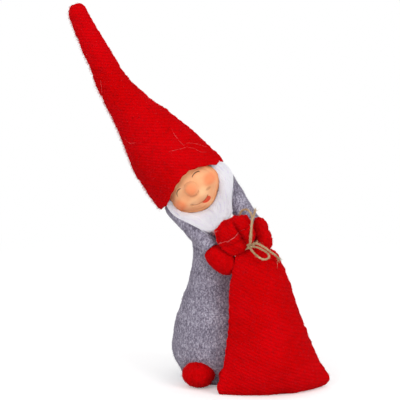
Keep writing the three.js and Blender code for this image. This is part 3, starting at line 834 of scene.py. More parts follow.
@dataclass(frozen=True)
class DollSkinFinish:
    """A moulded doll's face with painted cheeks, lip and closed smiling eyes.

    face_at holds a point's place on the face in millimetres: right of its middle, and down
    from there towards the chin.
    """

    name: str = "doll_face_paint"
    skin: Triple = srgb(236, 166, 117)
    blush: Triple = srgb(240, 132, 80)
    # light: a paler skin, used for the mottle and for painted highlights.
    light: Triple = srgb(247, 195, 146)
    edge: Triple = srgb(222, 134, 78)
    ink: Triple = srgb(74, 52, 30)
    lip: Triple = srgb(218, 74, 38)
    # crease: the drawn smile line, and painted shade under the nose and in the dimples.
    crease: Triple = srgb(176, 98, 50)

    def material(self) -> bpy.types.Material:
        """Soft round spots blush the cheeks and nose, arcs of circles draw eyes and smile. Paler spots paint
        highlights on the muzzle and forehead and lighten the upper left against the brim's shade; a darker
        colour paints shade under the nose and in the dimples.

        Returns:
            The material.
        """
        s = Shader(self.name)
        a, d, rim = s.axes(s.tagged("face_at"))
        base = s.mix(s.noise(s.place(), 130.0, 2.0).step(0.3, 0.7) * 0.35, self.skin, self.light)

        def spot(at_a: float, at_d: float, wide: float, tall: float) -> Value:
            """One inside an oval, falling to zero over its outer half."""
            reach = (((a - at_a) / wide) ** 2.0 + ((d - at_d) / tall) ** 2.0) ** 0.5
            return reach.step(1.0, 0.35)

        def arc(at_a: float, at_d: float, radius: float, left: float, right: float, thick: float,
                sign: float) -> Value:
            """A drawn line: part of a circle about a point, above (1) or below (-1) it, between
            two places across the face.

            Args:
                at_a: centre, to the right.
                at_d: centre, down.
                radius: the circle's.
                left: where it starts.
                right: where it ends.
                thick: half its width.
                sign: which side of the centre.

            Returns:
                One on the line.
            """
            off = ((a - at_a) ** 2.0 + (d - at_d) ** 2.0) ** 0.5
            line = abs(off - radius).step(thick, thick * 0.45)
            side = ((d - at_d) * -sign).step(0.0, 0.4)
            return line * side * a.step(left, left + 0.4) * a.step(right, right - 0.4)

        # Painted highlights: paler spots over the muzzle and forehead, and a wide one that lightens the upper
        # left where the hat brim's shade falls.
        base = s.mix(spot(7.0, 5.2, 6.0, 6.5) * 0.75, base, self.light)
        base = s.mix(spot(-4.5, 7.4, 6.0, 4.5) * 0.5, base, self.light)
        base = s.mix(spot(2.0, -13.0, 14.0, 6.5) * 0.5, base, self.light)
        base = s.mix(spot(-12.0, -8.0, 11.0, 8.0) * 0.8, base, self.light)
        blushes = ((15.6, 0.6, 6.0, 0.8), (-14.0, 4.3, 6.4, 0.85), (0.9, -1.4, 6.0, 0.7))
        for at_a, at_d, size, depth in blushes:
            base = s.mix(spot(at_a, at_d, size, size) * depth, base, self.blush)
        # Painted shade: a darker arc under the nose ball and darker spots in the dimples at the smile's ends.
        under = arc(*NOSE, 5.8, -3.6, 5.0, 0.9, -1.0) * 0.3
        dimple_shade = spot(10.8, 5.6, 2.8, 1.5).most(spot(-6.8, 8.6, 2.0, 1.5)) * 0.45
        base = s.mix(under.most(dimple_shade), base, self.crease)
        smile = arc(*SMILE, -6.6, 7.5, 0.42, -1.0) * 0.8
        outside = ((a - SMILE[0]) ** 2.0 + (d - SMILE[1]) ** 2.0) ** 0.5
        wedge = spot(4.0, 11.6, 4.5, 3.1).step(0.12, 0.34) * outside.step(12.2, 12.6)
        base = s.mix(wedge, base, self.lip)
        base = s.mix(smile, base, self.crease)
        eyes = arc(*LEFT_EYE, -11.6, -5.4, 0.42, 1.0).most(arc(*RIGHT_EYE, 5.9, 12.7, 0.42, 1.0))
        lids = arc(-6.9, -3.2, 4.9, -11.2, -5.6, 0.3, 1.0).most(arc(9.3, -5.4, 5.4, 6.2, 12.4, 0.3, 1.0))
        base = s.mix(lids * 0.45, base, self.edge)
        base = s.mix(eyes * 0.92, base, self.ink)
        base = s.mix(rim.step(0.9, 1.0) * 0.5, base, self.edge)
        pores = s.noise(s.place(), 900.0, 3.0, 0.6)
        return s.principled(
            Base_Color=base, Roughness=pores * 0.16 + 0.42, Specular_IOR_Level=0.35, Subsurface_Weight=0.12,
            Subsurface_Radius=(0.9, 0.4, 0.2), Subsurface_Scale=0.003, Normal=s.bump(pores, 0.00006, 0.5))


class Wardrobe:
    """Every finish of the figure, made once."""

    def __init__(self) -> None:
        """Makes the materials."""
        grey = (srgb(78, 72, 88), srgb(136, 129, 145), srgb(196, 192, 206))
        red = (srgb(178, 0, 2), srgb(194, 0, 4), srgb(208, 2, 9))
        self.hat_knit = KnitWool("hat_knit", 0.00222, 0.03).material()
        self.sack_knit = KnitWool("sack_knit", 0.0026, 0.42).material()
        self.grey_felt = WoolFelt("grey_felt_cloth", *grey).material()
        self.red_felt = WoolFelt("red_felt_cloth", *red, grain=520.0).material()
        self.grey_nap = FibreFinish("grey_nap", srgb(150, 146, 158), srgb(206, 203, 212), 0.8).material()
        self.red_nap = FibreFinish("red_nap", srgb(192, 0, 8), srgb(226, 8, 30), 0.8).material()
        self.pale_hair = FibreFinish("pale_stray_wool", srgb(232, 96, 100), srgb(246, 160, 156)).material()
        self.beard = CombedFibre().material()
        self.skin = DollSkinFinish().material()
        self.jute = JuteFinish().material()
        self.jute_fibre = FibreFinish("jute_fibre", srgb(170, 138, 100), srgb(222, 198, 164), 0.8).material()
        self.hidden = {
            Slot.WADDING: PlainFinish("wadding", srgb(243, 241, 236), 120.0, 0.95).material(),
            Slot.FOAM: PlainFinish("head_foam", srgb(244, 244, 242), 700.0, 0.8).material(),
            Slot.BOARD: PlainFinish(
                "grey_board", srgb(178, 140, 96), 260.0, 0.9, stretch=(1.0, 6.0, 6.0)).material(),
            Slot.CANVAS: PlainFinish("grit_bag", srgb(216, 207, 184), 900.0, 0.95).material(),
            Slot.WIRE: PlainFinish(
                "soft_wire", srgb(150, 152, 156), 500.0, 0.42, metal=1.0, stretch=(1.0, 1.0, 0.1)).material(),
            Slot.GREY_FELT: self.grey_felt,
        }


def linked(name: str, data: Any) -> bpy.types.Object:
    """A new object of a mesh, a lamp or a camera, put in the scene."""
    obj = bpy.data.objects.new(name, data)
    bpy.context.scene.collection.objects.link(obj)
    return obj


def piece(name: str, shape: Shell | Geometry, material: bpy.types.Material,
          body: Body | None = Body.TORSO, replaces: Sequence[str] = (),
          tags: dict[str, Array] | None = None) -> bpy.types.Object:
    """Makes a piece of a shape and ties it to the frame.

    Args:
        name: the piece's name.
        shape: its surface.
        material: its finish.
        body: what it rides on, or None.
        replaces: solids that it stands for.
        tags: vectors kept at its points.

    Returns:
        The object.
    """
    mesh = write_mesh(name, shape, tags)
    obj = linked(name, mesh)
    mesh.materials.append(material)
    if body:
        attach(obj, body.value)
    if replaces:
        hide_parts(*replaces)
    log.info("%s: %d points, %d faces", name, len(mesh.vertices), len(mesh.polygons))
    return obj


# Making cloth


def stretch(coarse: Array, rows: int, columns: int) -> Array:
    """A small wrapped grid spread over a fine one, by cubic mixing of neighbours both ways.

    Args:
        coarse: the small grid.
        rows: rows wanted.
        columns: columns wanted.

    Returns:
        The fine grid.
    """
    r, c = coarse.shape[:2]
    along = spline(np.eye(r), np.linspace(0, 1, rows), False)
    places = (3 + np.arange(columns) / columns * c) / (c + 5)
    around = spline(np.eye(c)[np.arange(-3, c + 3) % c], places, False)
    return np.einsum("ra,cb,abk->rck", along, around, coarse)


def settle(start: Array, cut: Array, held: Array, cap: float, pressure: float = 4.0) -> Array:
    """How far stuffed cloth moves when Blender's Cloth blows it up.

    The cloth is simulated ten times as large as it is, where the settings for furniture
    cushions suit it. Each move is cut to cap millimetres.

    Args:
        start: the wrapped grid that it starts from.
        cut: the same grid at the size that the cloth was sewn to.
        held: true where a point is sewn fast.
        cap: the furthest that a point may move.
        pressure: of the filling.

    Returns:
        Moves in millimetres, one for each grid point.
    """
    points, faces = Shell(start).parts()
    enlarge, frames = 0.01, 18
    mesh = bpy.data.meshes.new("settling")
    mesh.from_pydata((points * enlarge).tolist(), [], [f for some in faces for f in some.tolist()])
    obj = linked("settling", mesh)
    scene = bpy.context.scene
    obj.shape_key_add(name="start")
    key = obj.shape_key_add(name="cut")
    key.data.foreach_set("co", (Shell(cut).parts()[0] * enlarge).ravel())
    key.value = 0.0
    group = obj.vertex_groups.new(name="held")
    group.add(np.flatnonzero(held.ravel()).tolist() + [held.size, held.size + 1], 1.0, "REPLACE")
    cloth = obj.modifiers.new("air", "CLOTH")
    cloth.settings.quality = 6
    cloth.settings.use_pressure = True
    cloth.settings.uniform_pressure_force = pressure
    cloth.settings.effector_weights.gravity = 0
    cloth.settings.vertex_group_mass = "held"
    cloth.settings.rest_shape_key = key
    cloth.collision_settings.use_collision = False
    for frame in range(1, frames + 1):
        scene.frame_set(frame)
    blown = obj.evaluated_get(bpy.context.evaluated_depsgraph_get()).to_mesh()
    after = np.empty(len(blown.vertices) * 3)
    blown.vertices.foreach_get("co", after)
    scene.frame_set(1)
    bpy.data.objects.remove(obj)
    move = after.reshape(-1, 3)[:start[..., 0].size].reshape(start.shape) / enlarge - start
    size = np.linalg.norm(move, axis=-1, keepdims=True)
    log.info("cloth settled: mean move %.2f mm, furthest %.2f mm", size.mean(), size.max())
    return move * np.minimum(1.0, cap / np.maximum(size, 1e-9))


def closed_sheet(front: Array, back: Array) -> Geometry:
    """Two open grids, one behind the other, joined round their edges into one closed body.

    Args:
        front: the grid in front.
        back: the same grid behind it.

    Returns:
        Points and faces.
    """
    rows, columns = front.shape[:2]
    size = rows * columns
    quads = grid_quads(rows, columns, wrap=False)
    number = np.arange(size).reshape(rows, columns)
    loop = np.concatenate([number[0], number[1:, -1], number[-1, -2::-1], number[-2:0:-1, 0]])
    after = np.roll(loop, -1)
    edge = np.stack([loop, loop + size, after + size, after], -1)
    return np.vstack([front.reshape(-1, 3), back.reshape(-1, 3)]), [quads, quads[:, ::-1] + size, edge]


@dataclass
class StuffedCloth:
    """A padded piece of cloth: a soft form with its relief, settled over its filling.

    Its surface is form + normal * (sum of height * ripple(wavelength)).
    """

    name: str
    node: str
    form: SoftForm
    rows: int
    columns: int
    span: Pair = (0.0, 1.0)
    relief: tuple[Pair, ...] = ((0.14, 2.6), (0.3, 9.0))
    inset: float = 0.8
    slack: float = 0.5
    cap: float = 1.2
    fill: float = 0.8
    floor: bool = False
    nap_count: int = 600
    nap_length: float = 1.5
    seed: int = 1

    def surface(self) -> Array:
        """The form with its settling, its relief and its own seams and folds.

        Returns:
            The fine grid.
        """
        t = np.linspace(*self.span, self.rows)[:, None]
        grid = self.form.at(t, ring_angles(self.columns)[None])
        grid = grid + stretch(self.moved(), self.rows, self.columns)
        normals = grid_normals(grid)
        lift = sum(height * ripple(grid, length, self.seed * 7 + i)
                   for i, (height, length) in enumerate(self.relief))
        grid = grid + normals * (lift + self.shaping(t, ring_angles(self.columns)[None], grid))[..., None]
        if self.floor:
            grid[..., 2] = np.maximum(grid[..., 2], FLOOR_GAP)
        return grid

    def shaping(self, t: Array, angle: Array, grid: Array) -> Array:
        """Height of the piece's own seams and folds above its form."""
        return np.zeros(grid.shape[:2])

    def moved(self) -> Array:
        """Moves of a coarse grid that settles from a little inside the form.

        Returns:
            The moves, in millimetres.
        """
        rows, columns = 26, 32
        t = np.linspace(*self.span, rows)[:, None]
        angle = ring_angles(columns)[None]
        start = self.form.at(t, angle, -self.inset)
        held = np.zeros((rows, columns), bool)
        held[[0, 1, -2, -1]] = True
        cut = self.form.at(t, angle, self.slack)
        move = settle(start, cut, held, self.cap)
        return move + (start - self.form.at(t, angle))

    def build(self, cloth: bpy.types.Material, fibres: bpy.types.Material, slot: Slot) -> None:
        """Makes the piece and its nap.

        Args:
            cloth: the cloth's finish.
            fibres: the nap's finish.
            slot: not used.
        """
        grid = self.surface()
        obj = piece(self.name, Shell(grid), cloth, replaces=[self.node])
        if self.nap_count:
            hairs = nap(*scatter(grid, self.nap_count, self.seed), self.nap_length, 0.065, self.seed)
            piece(self.name + "_nap", hairs, fibres)


@dataclass
class Foot(StuffedCloth):
    """A fulled ball of a foot, flat where it stands."""

    def shaping(self, t: Array, angle: Array, grid: Array) -> Array:
        """A faint seam over the toe: -0.35 mm in a line 0.9 mm wide."""
        off = np.abs(grid[..., 0] - grid[..., 0].mean())
        return -0.35 * hill(off, 0.9)


@dataclass
class Mitten(StuffedCloth):
    """A felt mitten, gathered at the wrist and creased across its back."""

    crease: float = 0.3
    gathers: int = 11

    def shaping(self, t: Array, angle: Array, grid: Array) -> Array:
        """Pleats cos(n angle) that fade from the wrist, and a dent across at the crease.

        Args:
            t: share of the length.
            angle: round each ring, from the front.
            grid: the points so far.

        Returns:
            The height at each point.
        """
        pleats = 0.5 * np.cos(self.gathers * angle + 1.2 * np.sin(2 * angle)) * np.exp(-t / 0.16)
        dent = -0.75 * hill(t - self.crease - 0.05 * np.sin(angle * 2), 0.04)
        edge = 0.4 * hill(np.abs(angle) - math.pi / 2, 0.09)
        return pleats + dent + edge


def limb_sizes(points: Sequence[Sequence[float]]) -> Array:
    """Stations of a sleeve that tapers from the shoulder to the cuff."""
    size = np.interp([0, 0.1, 0.3, 0.6, 1], [0, 1], [9.4, 7.2])
    return np.column_stack([points, size, size, np.zeros_like(size)])


def mitten_form(centre: Sequence[float], length: float, width: float, depth: float,
                way: Sequence[float]) -> SoftForm:
    """A blunt egg along a direction, narrower at the wrist.

    Args:
        centre: its middle.
        length: from wrist to tip.
        width: across.
        depth: front to back.
        way: from wrist to tip, as a direction.

    Returns:
        The form.
    """
    share = np.array([-1, -0.88, -0.6, -0.1, 0.35, 0.75, 0.94, 1])
    swell = np.array([0.3, 0.6, 0.86, 0.99, 1, 0.8, 0.5, 0.22])
    along = unit(np.array(way, float))
    places = np.array(centre) + along * (share * length / 2)[:, None]
    return SoftForm(np.column_stack([places, swell * width / 2, swell * depth / 2, np.zeros_like(swell)]))


def ball_form(centre: Sequence[float], radii: Sequence[float]) -> SoftForm:
    """An ellipsoid as a form: rings at height -cos with radius sin, from bottom to top.

    Args:
        centre: its middle.
        radii: its three half sizes.

    Returns:
        The form.
    """
    turn = np.linspace(0.06, math.pi - 0.06, 13)
    rows = np.column_stack([
        np.full_like(turn, centre[0]), np.full_like(turn, centre[1]), centre[2] - radii[2] * np.cos(turn),
        radii[0] * np.sin(turn), radii[1] * np.sin(turn), np.zeros_like(turn)])
    return SoftForm(rows, level=True)


@dataclass
class DollFace:
    """A moulded doll's face: a shallow dome with a ball nose, full cheeks and a rolled edge."""

    tilt: float = 36.5
    yaw: float = 6.0
    across: float = 20.8
    deep: float = 22.6
    tall: float = 19.4
    rim_across: float = 19.5
    rim_tall: float = 18.2
    ball: float = 19.8
    middle_drop: float = 0.6
    chin_room: float = 1.9
    nose_radius: float = 5.5
    nose_out: float = 5.7
    outline: tuple[Pair, ...] = (
        (-180, 1.0), (-167, 1.09), (-158, 1.13), (-148, 1.13), (-136, 1.09), (-124, 1.06), (-108, 1.07),
        (-96, 1.08), (-81, 1.07), (-65, 1.03), (-48, 0.99), (-31, 1.03), (-17, 1.08), (-6, 1.1), (3, 1.08),
        (20, 1.02), (160, 1.0), (180, 1.01))
    rows: int = 170
    columns: int = 240

    def height(self, a: Array, d: Array, dome: Array) -> Array:
        """Height of the front over the head's middle.

        dome + nose + cheeks + lids + lips, where each bump is a hill and the nose is nearly half a ball.

        Args:
            a: millimetres to the right of the face's middle.
            d: millimetres below it.
            dome: height of the bare dome.

        Returns:
            The height at each point.
        """
        def bump(at_a: float, at_d: float, wide: float, tall: float, high: float) -> Array:
            """One soft swelling."""
            return high * np.exp(-((a - at_a) / wide) ** 2 - ((d - at_d) / tall) ** 2)

        ball = np.clip(1 - ((a - NOSE[0]) ** 2 + (d - NOSE[1]) ** 2) / self.nose_radius ** 2, 0, 1)
        nose = self.nose_out * ball ** 0.55 + bump(*NOSE, 7.5, 7.0, 0.9) * (1 - ball)
        cheeks = bump(14.6, 1.4, 5.8, 6.0, 4.0) + bump(-13.4, 4.3, 5.6, 5.8, 4.2)
        lids = bump(-7.4, -5.4, 4.2, 2.8, 1.2) + bump(9.4, -8.0, 4.6, 2.8, 1.2)
        muzzle = bump(-1.8, 7.6, 5.6, 3.8, 2.0) + bump(5.4, 7.0, 4.4, 3.6, 1.9)
        muzzle = muzzle + bump(3.0, 16.0, 5.4, 2.2, 1.2)
        off = np.hypot(a - SMILE[0], d - SMILE[1]) - SMILE[2]
        lips = hill(off, 0.6) * smooth(7.8, 6.6, np.abs(a - 0.45)) * (d > 4)
        mouth = bump(3.6, 12.9, 3.2, 1.0, 1.1)
        dimple = bump(-6.8, 8.9, 1.2, 1.0, 0.8) + bump(8.6, 8.6, 1.2, 1.2, 0.6)
        lines = 0.0
        for (at_a, at_d, radius), drawn in (
                (LEFT_EYE, (d < -3.4) * (a < -5.0)),
                (RIGHT_EYE, (np.abs(a - RIGHT_EYE[0]) < 3.6) * (d < -6))):
            lines = lines + hill(np.hypot(a - at_a, d - at_d) - radius, 0.4) * drawn
        return dome + nose + cheeks + lids + muzzle - 0.8 * lips - mouth - dimple - 0.3 * lines

    def turn(self) -> Array:
        """The head's own directions as columns: turned about Z by the yaw, then tipped."""
        tipped = Matrix.Rotation(-math.radians(self.tilt), 3, "Y")
        return np.array(tipped @ Matrix.Rotation(-math.radians(self.yaw), 3, "Z"))

    def sunk_below(self, points: Array) -> Array:
        """Points before the mask lowered until they lie under its rim as seen along the head:
        where |q| < 1 in the rim's scale, z drops by the root s of |q + s e| = 1, with e the
        way down.

        Args:
            points: points of a body or a sleeve.

        Returns:
            The points, lowered.
        """
        turn = self.turn()[:, [0, 2]] / (np.array([self.rim_across, self.rim_tall]) + self.chin_room)
        q = (points - HEAD_CENTRE) @ turn
        e = np.array([0.0, 0.0, -1.0]) @ turn
        qe, ee, room = q @ e, e @ e, 1 - (q ** 2).sum(-1)
        drop = (np.sqrt(np.maximum(qe ** 2 + ee * room, 0)) - qe) / ee
        drop = np.where(room > 0, drop, 0) * smooth(-5.0, -8.0, points[..., 1])
        return points - drop[..., None] * [0.0, 0.0, 1.0]

    def build(self, wardrobe: Wardrobe) -> None:
        """Makes the mask from its back over its rolled edge to the nose.

        Args:
            wardrobe: the finishes.
        """
        phi = ring_angles(self.columns)[None]

        def ring(share: Array) -> tuple[Array, Array, Array]:
            """Right, up and the bare dome's height at a share of the rim, whose ellipse is drawn
            out to the outline over its outer part.

            Args:
                share: of the rim.

            Returns:
                Right, up and height.
            """
            right = share * self.rim_across * np.cos(phi)
            up = share * self.rim_tall * np.sin(phi)
            inside = 1 - (right / self.across) ** 2 - (up / self.tall) ** 2
            dome = self.deep * np.sqrt(np.maximum(inside, 0.01))
            wide = 1 + (np.interp(np.degrees(phi), *np.array(self.outline).T) - 1) * share ** 3
            return right * wide, up * wide, dome

        share = np.linspace(0.1, 0.985, 9)[:, None]
        right, up, dome = ring(share)
        behind = np.sqrt(np.maximum(self.ball ** 2 - right ** 2 - up ** 2, 36.0))
        back = np.stack([right, -np.minimum(behind, dome - 1.2), up], -1)
        share = np.linspace(1, 0.012, self.rows)[:, None] ** 0.8
        right, up, dome = ring(share)
        a, d = right, -up - self.middle_drop
        lip = 1.0 * hill(share - 0.955, 0.03) - 0.5 * hill(share - 0.89, 0.03)
        front = np.stack([right, -(self.height(a, d, dome) + lip), up], -1)
        grid = np.concatenate([back, front])
        rim = np.concatenate([np.ones(back.shape[:2]), share + 0 * phi])
        flat = np.stack([grid[..., 0], -grid[..., 2] - self.middle_drop, rim], -1)
        shell = Shell(grid @ self.turn().T + HEAD_CENTRE, flat, "face_at")
        piece("doll_face", shell, wardrobe.skin, replaces=["face_mask"])


@dataclass
class Sleeve(StuffedCloth):
    """A felt sleeve that gives way to the chin where it passes before it."""

    def surface(self) -> Array:
        """The form, lowered under the face's rim."""
        return DollFace().sunk_below(super().surface())


@dataclass
class FeltBody(StuffedCloth):
    """The grey felt body: a round belly that narrows to a waist and bends towards the head."""

    base_lift: float = 1.75
    head_room: float = 19.8

    def shaping(self, t: Array, angle: Array, grid: Array) -> Array:
        """A seam down the back, sunk 0.55 mm between two ridges, and slack folds at the waist.

        Args:
            t: share of the length.
            angle: round each ring, from the front.
            grid: the points so far.

        Returns:
            The height at each point.
        """
        off = (math.pi - np.abs(angle)) * 22
        seam = -0.55 * hill(off, 0.8) + 0.3 * hill(off - 2, 1.1)
        drape = 0.5 * np.sin(grid[..., 2] / 9 + 2 * np.sin(angle)) * smooth(0.3, 0.6, t)
        return seam + drape * np.exp(-(angle / 1.9) ** 6) * 0.5

    def surface(self) -> Array:
        """The form with its hem turned in at the floor and its neck turned in under the head.

        Returns:
            The closed grid.
        """
        side = super().surface()
        centre = side[0].mean(0)
        side[0, :, 2] = 0.05
        under = []
        for share, height in ((0.3, self.base_lift), (0.9, self.base_lift), (0.94, 0.2), (0.97, 0.02)):
            ring = centre + (side[0] - centre) * share
            ring[:, 2] = height
            under.append(ring)
        over = []
        for share in (0.985, 0.8, 0.5, 0.2):
            ring = HEAD_CENTRE + (side[-1] - HEAD_CENTRE) * share
            reach = np.linalg.norm(ring[:, :2] - HEAD_CENTRE[:2], axis=-1)
            ring[:, 2] = HEAD_CENTRE[2] - np.sqrt(np.maximum(self.head_room ** 2 - reach ** 2, 1.0))
            over.append(ring)
        upper = DollFace().sunk_below(np.concatenate([side, np.array(over)]))
        return np.concatenate([np.array(under), upper])


def felt_body() -> FeltBody:
    """The body with its stations from the floor to the neck.

    Returns:
        The body.
    """
    base, belly, waist, neck = 24.6, 34.2, 15.4, 15.6
    stations = [(0, base, 0), (7, base + 3.07, 0), (15.5, base + 7.87, 0), (25, belly, 0)]
    for rise, flank, lean in ((0.28, 0.2, 0.06), (0.5, 0.49, 0.1), (0.72, 0.81, 0.15), (1.0, 1.0, 0.2)):
        stations.append((25 + 73 * rise, belly + (waist - belly) * flank, lean))
    stations += [(117, neck - 0.3, 0.52), (NECK_HEIGHT, neck, 1.0)]
    table = np.array([(12.3 - 13.3 * lean, 0, height, size, size, 0) for height, size, lean in stations])
    return FeltBody("body_cloth", "body_felt", SoftForm(table, level=True), 150, 192,
                    relief=((0.12, 2.4), (0.35, 14.0)), slack=0.7, cap=1.4, fill=0.75, floor=True,
                    nap_count=9000, nap_length=1.3, seed=3)


@dataclass
class KnittedHat:
    """The tall hat: two knitted panels seamed at the sides, hollow, bent towards its tip."""

    rows: int = 270
    columns: int = 200
    wool: float = 2.0
    y: float = 0.6
    bend_reach: float = 12.0
    nap_count: int = 15000
    front: tuple[Pair, ...] = (
        (-48, -26), (-33, -9.6), (-28.4, -4.6), (-24.4, 1.6), (-21.4, 8.6), (-18, 16.4), (-13.2, 22.1),
        (-8.1, 26.4), (-2, 29.1), (5, 29.6), (12, 29.6), (19, 31.2), (34, 40))
    behind: tuple[Pair, ...] = (
        (-60, -29), (-30.4, -6.6), (-23.8, -5.4), (-14.4, -2.7), (-0.9, 4.4), (9.7, 15.6), (14.8, 23.9),
        (17.8, 29.9), (60, 61.8))

    def form(self) -> SoftForm:
        """The hat's stations, from the brim to the tip.

        Returns:
            The form.
        """
        table = np.array([
            (4.6, -1.6, 30.2, 27, 0.45), (-6.1, 11.5, 30.2, 27, 0.42), (-16.9, 24.4, 28.7, 25.8, 0.36),
            (-27, 36.5, 26.7, 24, 0.28), (-35.1, 47.4, 23, 21.6, 0.15), (-43.6, 58.9, 19.4, 18.6, 0.05),
            (-51.2, 68.8, 15.6, 15.6, 0), (-56.2, 75.2, 13.9, 13.9, 0), (-60.4, 81.4, 12.5, 12.5, 0),
            (-68.1, 94.1, 10.8, 10.8, 0), (-75.2, 109.1, 9.4, 9.4, 0), (-81.7, 121.8, 8.4, 8.4, 0),
            (-87.1, 133, 7.2, 7.2, 0), (-90, 140.4, 6.6, 6.6, 0), (-91.4, 144.4, 4.6, 4.6, 0),
            (-92.1, 146.4, 1.6, 1.6, 0)])
        x, rise, across, deep, point = table.T
        rows = [x, np.full_like(x, self.y), NECK_HEIGHT + rise, across, deep, point]
        return SoftForm(np.column_stack(rows))

    def brim(self, form: SoftForm, angle: Array) -> Array:
        """Where each column starts: the last place along it that is under the brim's line.

        Args:
            form: the hat's form.
            angle: the columns' angles.

        Returns:
            A share of the length for each column.
        """
        t = np.linspace(0, 0.45, 600)
        x, y, z = np.moveaxis(form.at(t[:, None], angle[None]), -1, 0)
        lines = [np.interp(x, *np.array(line).T) + NECK_HEIGHT for line in (self.front, self.behind)]
        over = z - np.where(y < 0, *lines)
        last = len(t) - 1 - np.argmax((over < 0)[::-1], axis=0)
        last = np.minimum(np.where((over < 0).any(0), last, 0), len(t) - 2)
        c = np.arange(len(angle))
        gap = over[last + 1, c] - over[last, c]
        return t[last] + (t[1] - t[0]) * np.clip(-over[last, c] / np.maximum(gap, 1e-6), 0, 1)

    def surface(self) -> tuple[Array, Array]:
        """The closed grid, lining first, and its outer rows alone.

        Outer height = lumps of ripple + a ridge over each side seam, all fading at the hem.

        Returns:
            The closed grid and the outer rows.
        """
        form = self.form()
        angle = ring_angles(self.columns)
        start = self.brim(form, angle) + 0.0015 * np.sin(angle * 9) + 0.001 * np.sin(angle * 23 + 1)
        share = np.linspace(0, 1, self.rows)[:, None]
        t = start + (1 - start) * share
        outer = form.at(t, angle[None])
        normals = grid_normals(outer)
        lump = 0.26 * ripple(outer, 2.7, 5) + 0.32 * ripple(outer, 6.5, 6) + 0.45 * ripple(outer, 21, 7)
        around = np.abs(np.abs(angle) - math.pi / 2) * form.frames(t[:, 0])[3][:, :1]
        seam = 0.5 * hill(around, 1.1) - 0.35 * hill(around - 2.4, 1.3)
        seam = seam * (0.8 + 0.5 * ripple(outer, 4.5, 8))
        fade = smooth(0, 0.02, share)
        tip = smooth(1.0, 0.97, share)
        hem = 0.5 * (1 - smooth(0, 0.008, share))
        outer = outer + normals * ((lump * tip + seam * tip) * fade - hem)[..., None]
        down = np.linspace(0.9, 0, 24)[:, None] ** 1.2
        lining = form.at(start + (0.92 - start) * down, angle[None], -self.wool)
        turn = form.at(start - 0.003 + np.zeros((1, 1)), angle[None], -self.wool * 0.6)
        return np.concatenate([lining, turn, outer]), outer

    def strays(self, form: SoftForm) -> Geometry:
        """A few long pale hairs that lie on the wool, given by place and angle along the hat.

        Args:
            form: the hat's form.

        Returns:
            Points and faces.
        """
        ways = np.array([
            [(0.262, 0.75), (0.235, 0.66), (0.205, 0.62), (0.178, 0.62)],
            [(0.2, 0.2), (0.19, 0.38), (0.178, 0.56), (0.172, 0.7)],
            [(0.185, 0.72), (0.166, 0.9), (0.146, 1.05), (0.128, 1.2)],
            [(0.17, 0.66), (0.15, 0.8), (0.132, 0.86), (0.118, 1.02)],
            [(0.33, -0.9), (0.31, -0.8), (0.3, -0.66), (0.296, -0.5)],
            [(0.6, -0.5), (0.58, -0.7), (0.565, -0.9), (0.56, -1.1)]])
        steps = spline(np.eye(4), np.linspace(0, 1, 12), False)
        place = np.einsum("sa,nak->nsk", steps, ways)
        paths = form.at(place[..., 0], place[..., 1], 1.0)
        return tubes(paths, np.r_[0.02, np.full(10, 0.036), 0.02])

    def build(self, wardrobe: Wardrobe) -> None:
        """Makes the hat, its nap and its stray hairs.

        Args:
            wardrobe: the finishes.
        """
        grid, outer = self.surface()
        hat = piece("hat_cloth", Shell(grid), wardrobe.hat_knit, None,
                    ["hat_lower", "hat_upper"])
        drift = np.array([-0.4, 0.0, -0.5])
        hairs = nap(*scatter(outer, self.nap_count, 11), 1.8, 0.075, 11, 0.7, drift)
        fuzz = piece("hat_nap", hairs, wardrobe.red_nap, None)
        strays = piece("hat_stray_hairs", self.strays(self.form()), wardrobe.pale_hair, None)
        for obj in (hat, fuzz, strays):
            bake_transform(obj)


